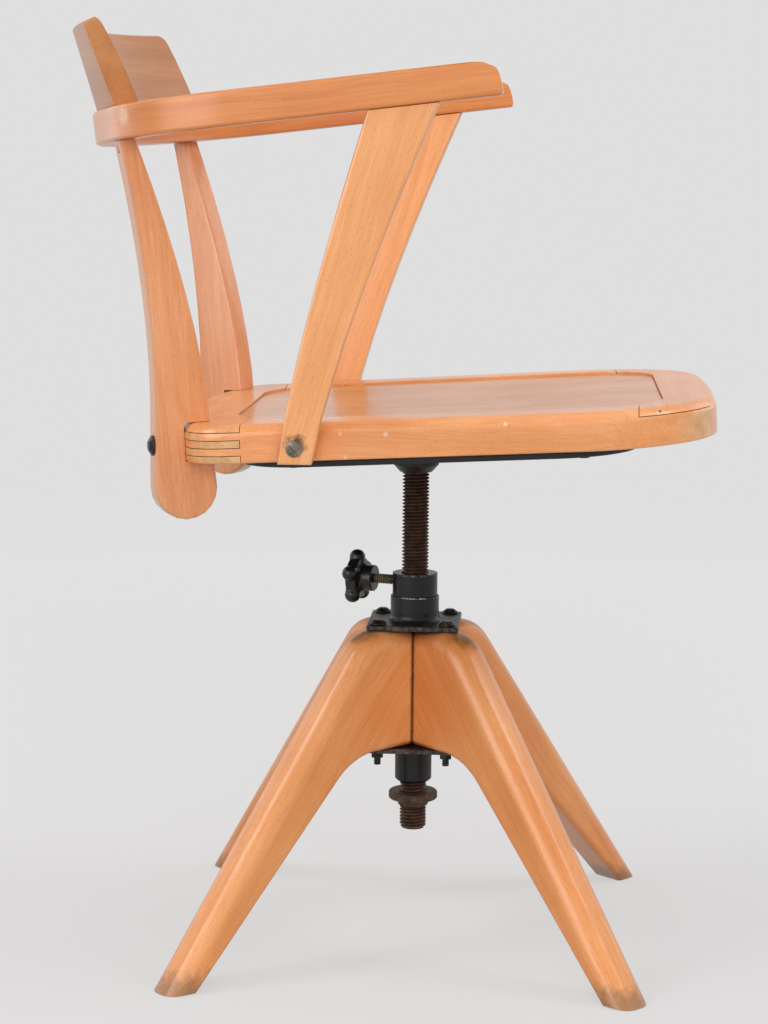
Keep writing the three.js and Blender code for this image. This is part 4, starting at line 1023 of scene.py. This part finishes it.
def frameBlank():
    sweep = math.radians(seat["rearSweepDegrees"])
    apex = seat["rear"] + seat["rearRadius"] * (1 / math.cos(sweep) - 1)
    rearY = apex - math.tan(sweep) * seatOuter(seat["rearShoulder"])
    frontY = seat["frontSwell"] - seat["front"]
    sides = ((frontY, seat["frontCorner"]), (rearY, seat["rearCorner"]))
    corners = mirrored([(seatOuter(y), y, radius) for y, radius in sides])
    front, rear = (0, -seat["front"], seat["frontRadius"]), (0, apex, seat["rearRadius"])
    outline = rounded([front, *corners[:2], rear, *corners[2:]])
    low, top, thick = seat["lowRounding"], seat["topRounding"], seat["thickness"]
    stations = [(low, 0), (low * 0.3, low * 0.3), (0, low), (0, thick - top)]
    for turn in (math.pi / 16 * i for i in range(1, 9)):
        stations.append((top * (1 - math.cos(turn)), thick - top + top * math.sin(turn)))
    slab = loft([seatRing(insetOutline(outline, inset), z) for inset, z in stations])
    floor = thick - seat["recess"] - seat["panelThickness"] - seat["clearance"]
    below, above = seat["cutSpan"]
    opening, well = openingOutline(0), openingOutline(seat["ledge"])
    return carved(slab, [("DIFFERENCE", loft([seatRing(opening, floor), seatRing(opening, above)])),
                         ("DIFFERENCE", loft([seatRing(well, below), seatRing(well, above)]))])


def addRails():
    blank = frameBlank()
    half, far, margin, tongue = seat["gap"] / 2, seat["cutFar"], seat["cutMargin"], seat["frontTongue"]
    full = seat["cutSpan"]
    below, above = full
    inner = -tongue - margin
    layer = seat["thickness"] / seat["layers"]
    joint = {side: (seat["frontJoint"][side] + seat["rearShoulder"]) for side in (1, -1)}
    rearOwn = [(below, layer + half), (2 * layer - half, 3 * layer + half), (4 * layer - half, above)]
    sideOwn = [(layer - half, 2 * layer + half), (3 * layer - half, 4 * layer + half)]
    for seed, side in enumerate((1, -1)):
        name = "left" if side > 0 else "right"
        steps = [("INTERSECT", railBlock(side, (inner, far), (-far, far), full))]
        cuts = [((-far, half), (-far, -half), full), ((-far, half - tongue), (joint[side] - half, far), full),
                ((-far, far), (joint[side] - half, far), (4 * layer - half, above))]
        cuts += [((-far, far), (-far, half), up) for up in rearOwn]
        steps += [("DIFFERENCE", railBlock(side, *cut)) for cut in cuts]
        grain = straightGrain((0, 1, 0), seed + 5.2)
        placePiece([f"side_rail_{name}"], carved(blank.copy(), steps), railBeech, 0.3, grain=grain)
    for seed, end in enumerate(("front", "rear")):
        sign = -1 if end == "front" else 1
        corners = ((-far, 0), (far, 0), (far, sign * far), (-far, sign * far))
        steps = [("INTERSECT", loft([[inSeat(x, y, z) for x, y in corners] for z in full]))]
        cuts = []
        for side in (1, -1):
            cuts.append((side, (inner, far), (-half, joint[side] + half), full))
            if end == "front":
                lower = (below, 4 * layer + half)
                cuts.append((side, (-tongue - half, far), (joint[side] - margin, far), lower))
            else:
                cuts += [(side, (-half, far), (-far, margin), up) for up in sideOwn]
        steps += [("DIFFERENCE", railBlock(*cut)) for cut in cuts]
        grain = straightGrain((1, 0, 0), seed + 7.4)
        placePiece([f"{end}_rail"], carved(blank.copy(), steps), railBeech, 0.3, grain=grain)
    blank.free()


def addPanel():
    rim = openingOutline(seat["panelGap"])
    top = seat["thickness"] - seat["recess"]
    across, down = seat["panelEase"]
    centre = Vector((0, seat["dishCentre"]))
    rings = [seatRing(rim, top - seat["panelThickness"]), seatRing(rim, top - down),
             seatRing(insetOutline(rim, across), top)]
    for i in range(1, seat["dishSteps"]):
        share = 1 - i / seat["dishSteps"]
        drop = seat["dish"] * (1 - share ** 2) ** 2
        rings.append(seatRing([centre + (p - centre) * share for p in rim], top - drop))
    placePiece(["seat_panel"], loft(rings), panelPly, grain=straightGrain((0, 1, 0), 9.1))


def addBoard(data):
    points = rounded(mirrored([(seatOuter(-data["front"]) - data["inset"], -data["front"], data["corner"]),
                               (seatOuter(data["rear"]) - data["inset"], data["rear"], data["corner"])]))
    rings = [seatRing(insetOutline(points, inset), z - seat["clearance"]) for inset, z in data["edge"]]
    placePiece(["under_board"], loft(rings), boardPaint)


def addSeat():
    addRails()
    addPanel()
    addBoard(seat["board"])
    dressNode("cross_batten", rawBeech, 0.4, grain=straightGrain((1, 0, 0), 10.2))


def addSupports():
    for seed, side in enumerate((1, -1)):
        name = "left" if side > 0 else "right"
        grain = straightGrain((0, 0.12, 1), seed + 11.6, (0, 1, 0))
        dressNode(f"upright_{name}", uprightBeech, 0.7, grain=grain)
        grain = straightGrain((side * 0.07, -0.31, 1), seed + 14.7, (0, 1, 0))
        dressNode(f"front_strut_{name}", strutBeech, 0.7, grain=grain)


bow = {  # plan of the bent armrest, mm
    "halfWidth": 230.5,
    "cornerX": 130.0,
    "cornerY": 138.3,
    "cornerRadius": 100.5,
    "backY": -127.6,
    "backRadius": 396.5,
    "tiltDegrees": 6.73,
    "pivotHeight": 743.0,
    "noseReach": 45.0,  # mm back from the arms' front ends, where the facets lie
    "facetShortest": 5.0,
    "facetLongest": 22.0,
    "facetSlant": 0.3,
    "facetCuts": 5,
    "noseSpan": 2.0,  # mm
}
crest = {"radius": 408, "centreY": -130}  # mm, plan of the crest rail's bend


def bentGrain(data, seed):  # the fibres follow the bow's bends
    tilt = math.radians(data["tiltDegrees"])
    lastTurn = math.atan2(data["cornerY"] - data["backY"], data["cornerX"])

    def grain(spot):
        x, y, z = spot.x * 1000, spot.y * 1000 - axisY, spot.z * 1000 - data["pivotHeight"]
        y, z = y * math.cos(tilt) - z * math.sin(tilt), y * math.sin(tilt) + z * math.cos(tilt)
        side = 1 if x > 0 else -1
        x = abs(x)
        turn = math.atan2(y - data["cornerY"], x - data["cornerX"])
        if y < data["cornerY"]:
            along, across, run = y - data["cornerY"], x - data["halfWidth"], (0, 1)
        elif turn < lastTurn:
            along = data["cornerRadius"] * turn
            across = math.hypot(x - data["cornerX"], y - data["cornerY"]) - data["cornerRadius"]
            run = (-math.sin(turn), math.cos(turn))
        else:
            turn = math.atan2(y - data["backY"], x)
            along = data["cornerRadius"] * lastTurn + data["backRadius"] * (turn - lastTurn)
            across = math.hypot(x, y - data["backY"]) - data["backRadius"]
            run = (-math.sin(turn), math.cos(turn))
        if side > 0:
            middle = data["cornerRadius"] * lastTurn + data["backRadius"] * (math.pi / 2 - lastTurn)
            along = 2 * middle - along
        axis = Vector((run[0] * side, run[1] * math.cos(tilt), -run[1] * math.sin(tilt)))
        return Vector((along, z, across)) / 1000 + Vector((seed, seed * 0.6, seed * 1.3)), axis

    return grain


def archedGrain(data, seed):
    def grain(spot):
        x, y = spot.x * 1000, spot.y * 1000 - axisY - data["centreY"]
        turn = math.atan2(x, y)
        place = Vector((turn * data["radius"], spot.z * 1000, math.hypot(x, y) - data["radius"])) / 1000
        return place + Vector((seed, seed * 0.6, seed * 1.3)), Vector((math.cos(turn), -math.sin(turn), 0))

    return grain


def wornNoses(bm, data):  # swells the facets across the arms' front ends into one curve
    front = min(vert.co.y for vert in bm.verts) + data["noseReach"] / 1000
    bm.normal_update()
    along = []
    for edge in bm.edges:
        run = edge.verts[0].co - edge.verts[1].co
        if max(vert.co.y for vert in edge.verts) < front and abs(run.x) < data["facetSlant"] * run.length:
            if data["facetShortest"] < run.length * 1000 < data["facetLongest"]:
                along.append(edge)
    sides = [vert.co.x for edge in along for vert in edge.verts]
    bmesh.ops.subdivide_edges(bm, edges=along, cuts=data["facetCuts"], smooth=1.0, smooth_falloff="LINEAR",
                              use_grid_fill=True)
    for vert in bm.verts:  # the swelling goes up and forward only
        nearest = min(sides, key=lambda x: abs(x - vert.co.x))
        if vert.co.y < front and abs(nearest - vert.co.x) < data["noseSpan"] / 1000:
            vert.co.x = nearest
    return bm


def addArms():
    noses = wornNoses(solidOf("arm_bow"), bow)
    placePiece(["arm_bow"], noses, bentBeech, 0.6, grain=bentGrain(bow, 18.2))
    dressNode("crest_rail", crestBeech, 0.6, grain=archedGrain(crest, 21.9))


addSpindle(spindle)
addColumn(sleeve)
addKnob(knob)
addFasteners(sunk)
print("ironwork made")
addLegs(leg)
addSeat()
addSupports()
addArms()
print("woodwork made")
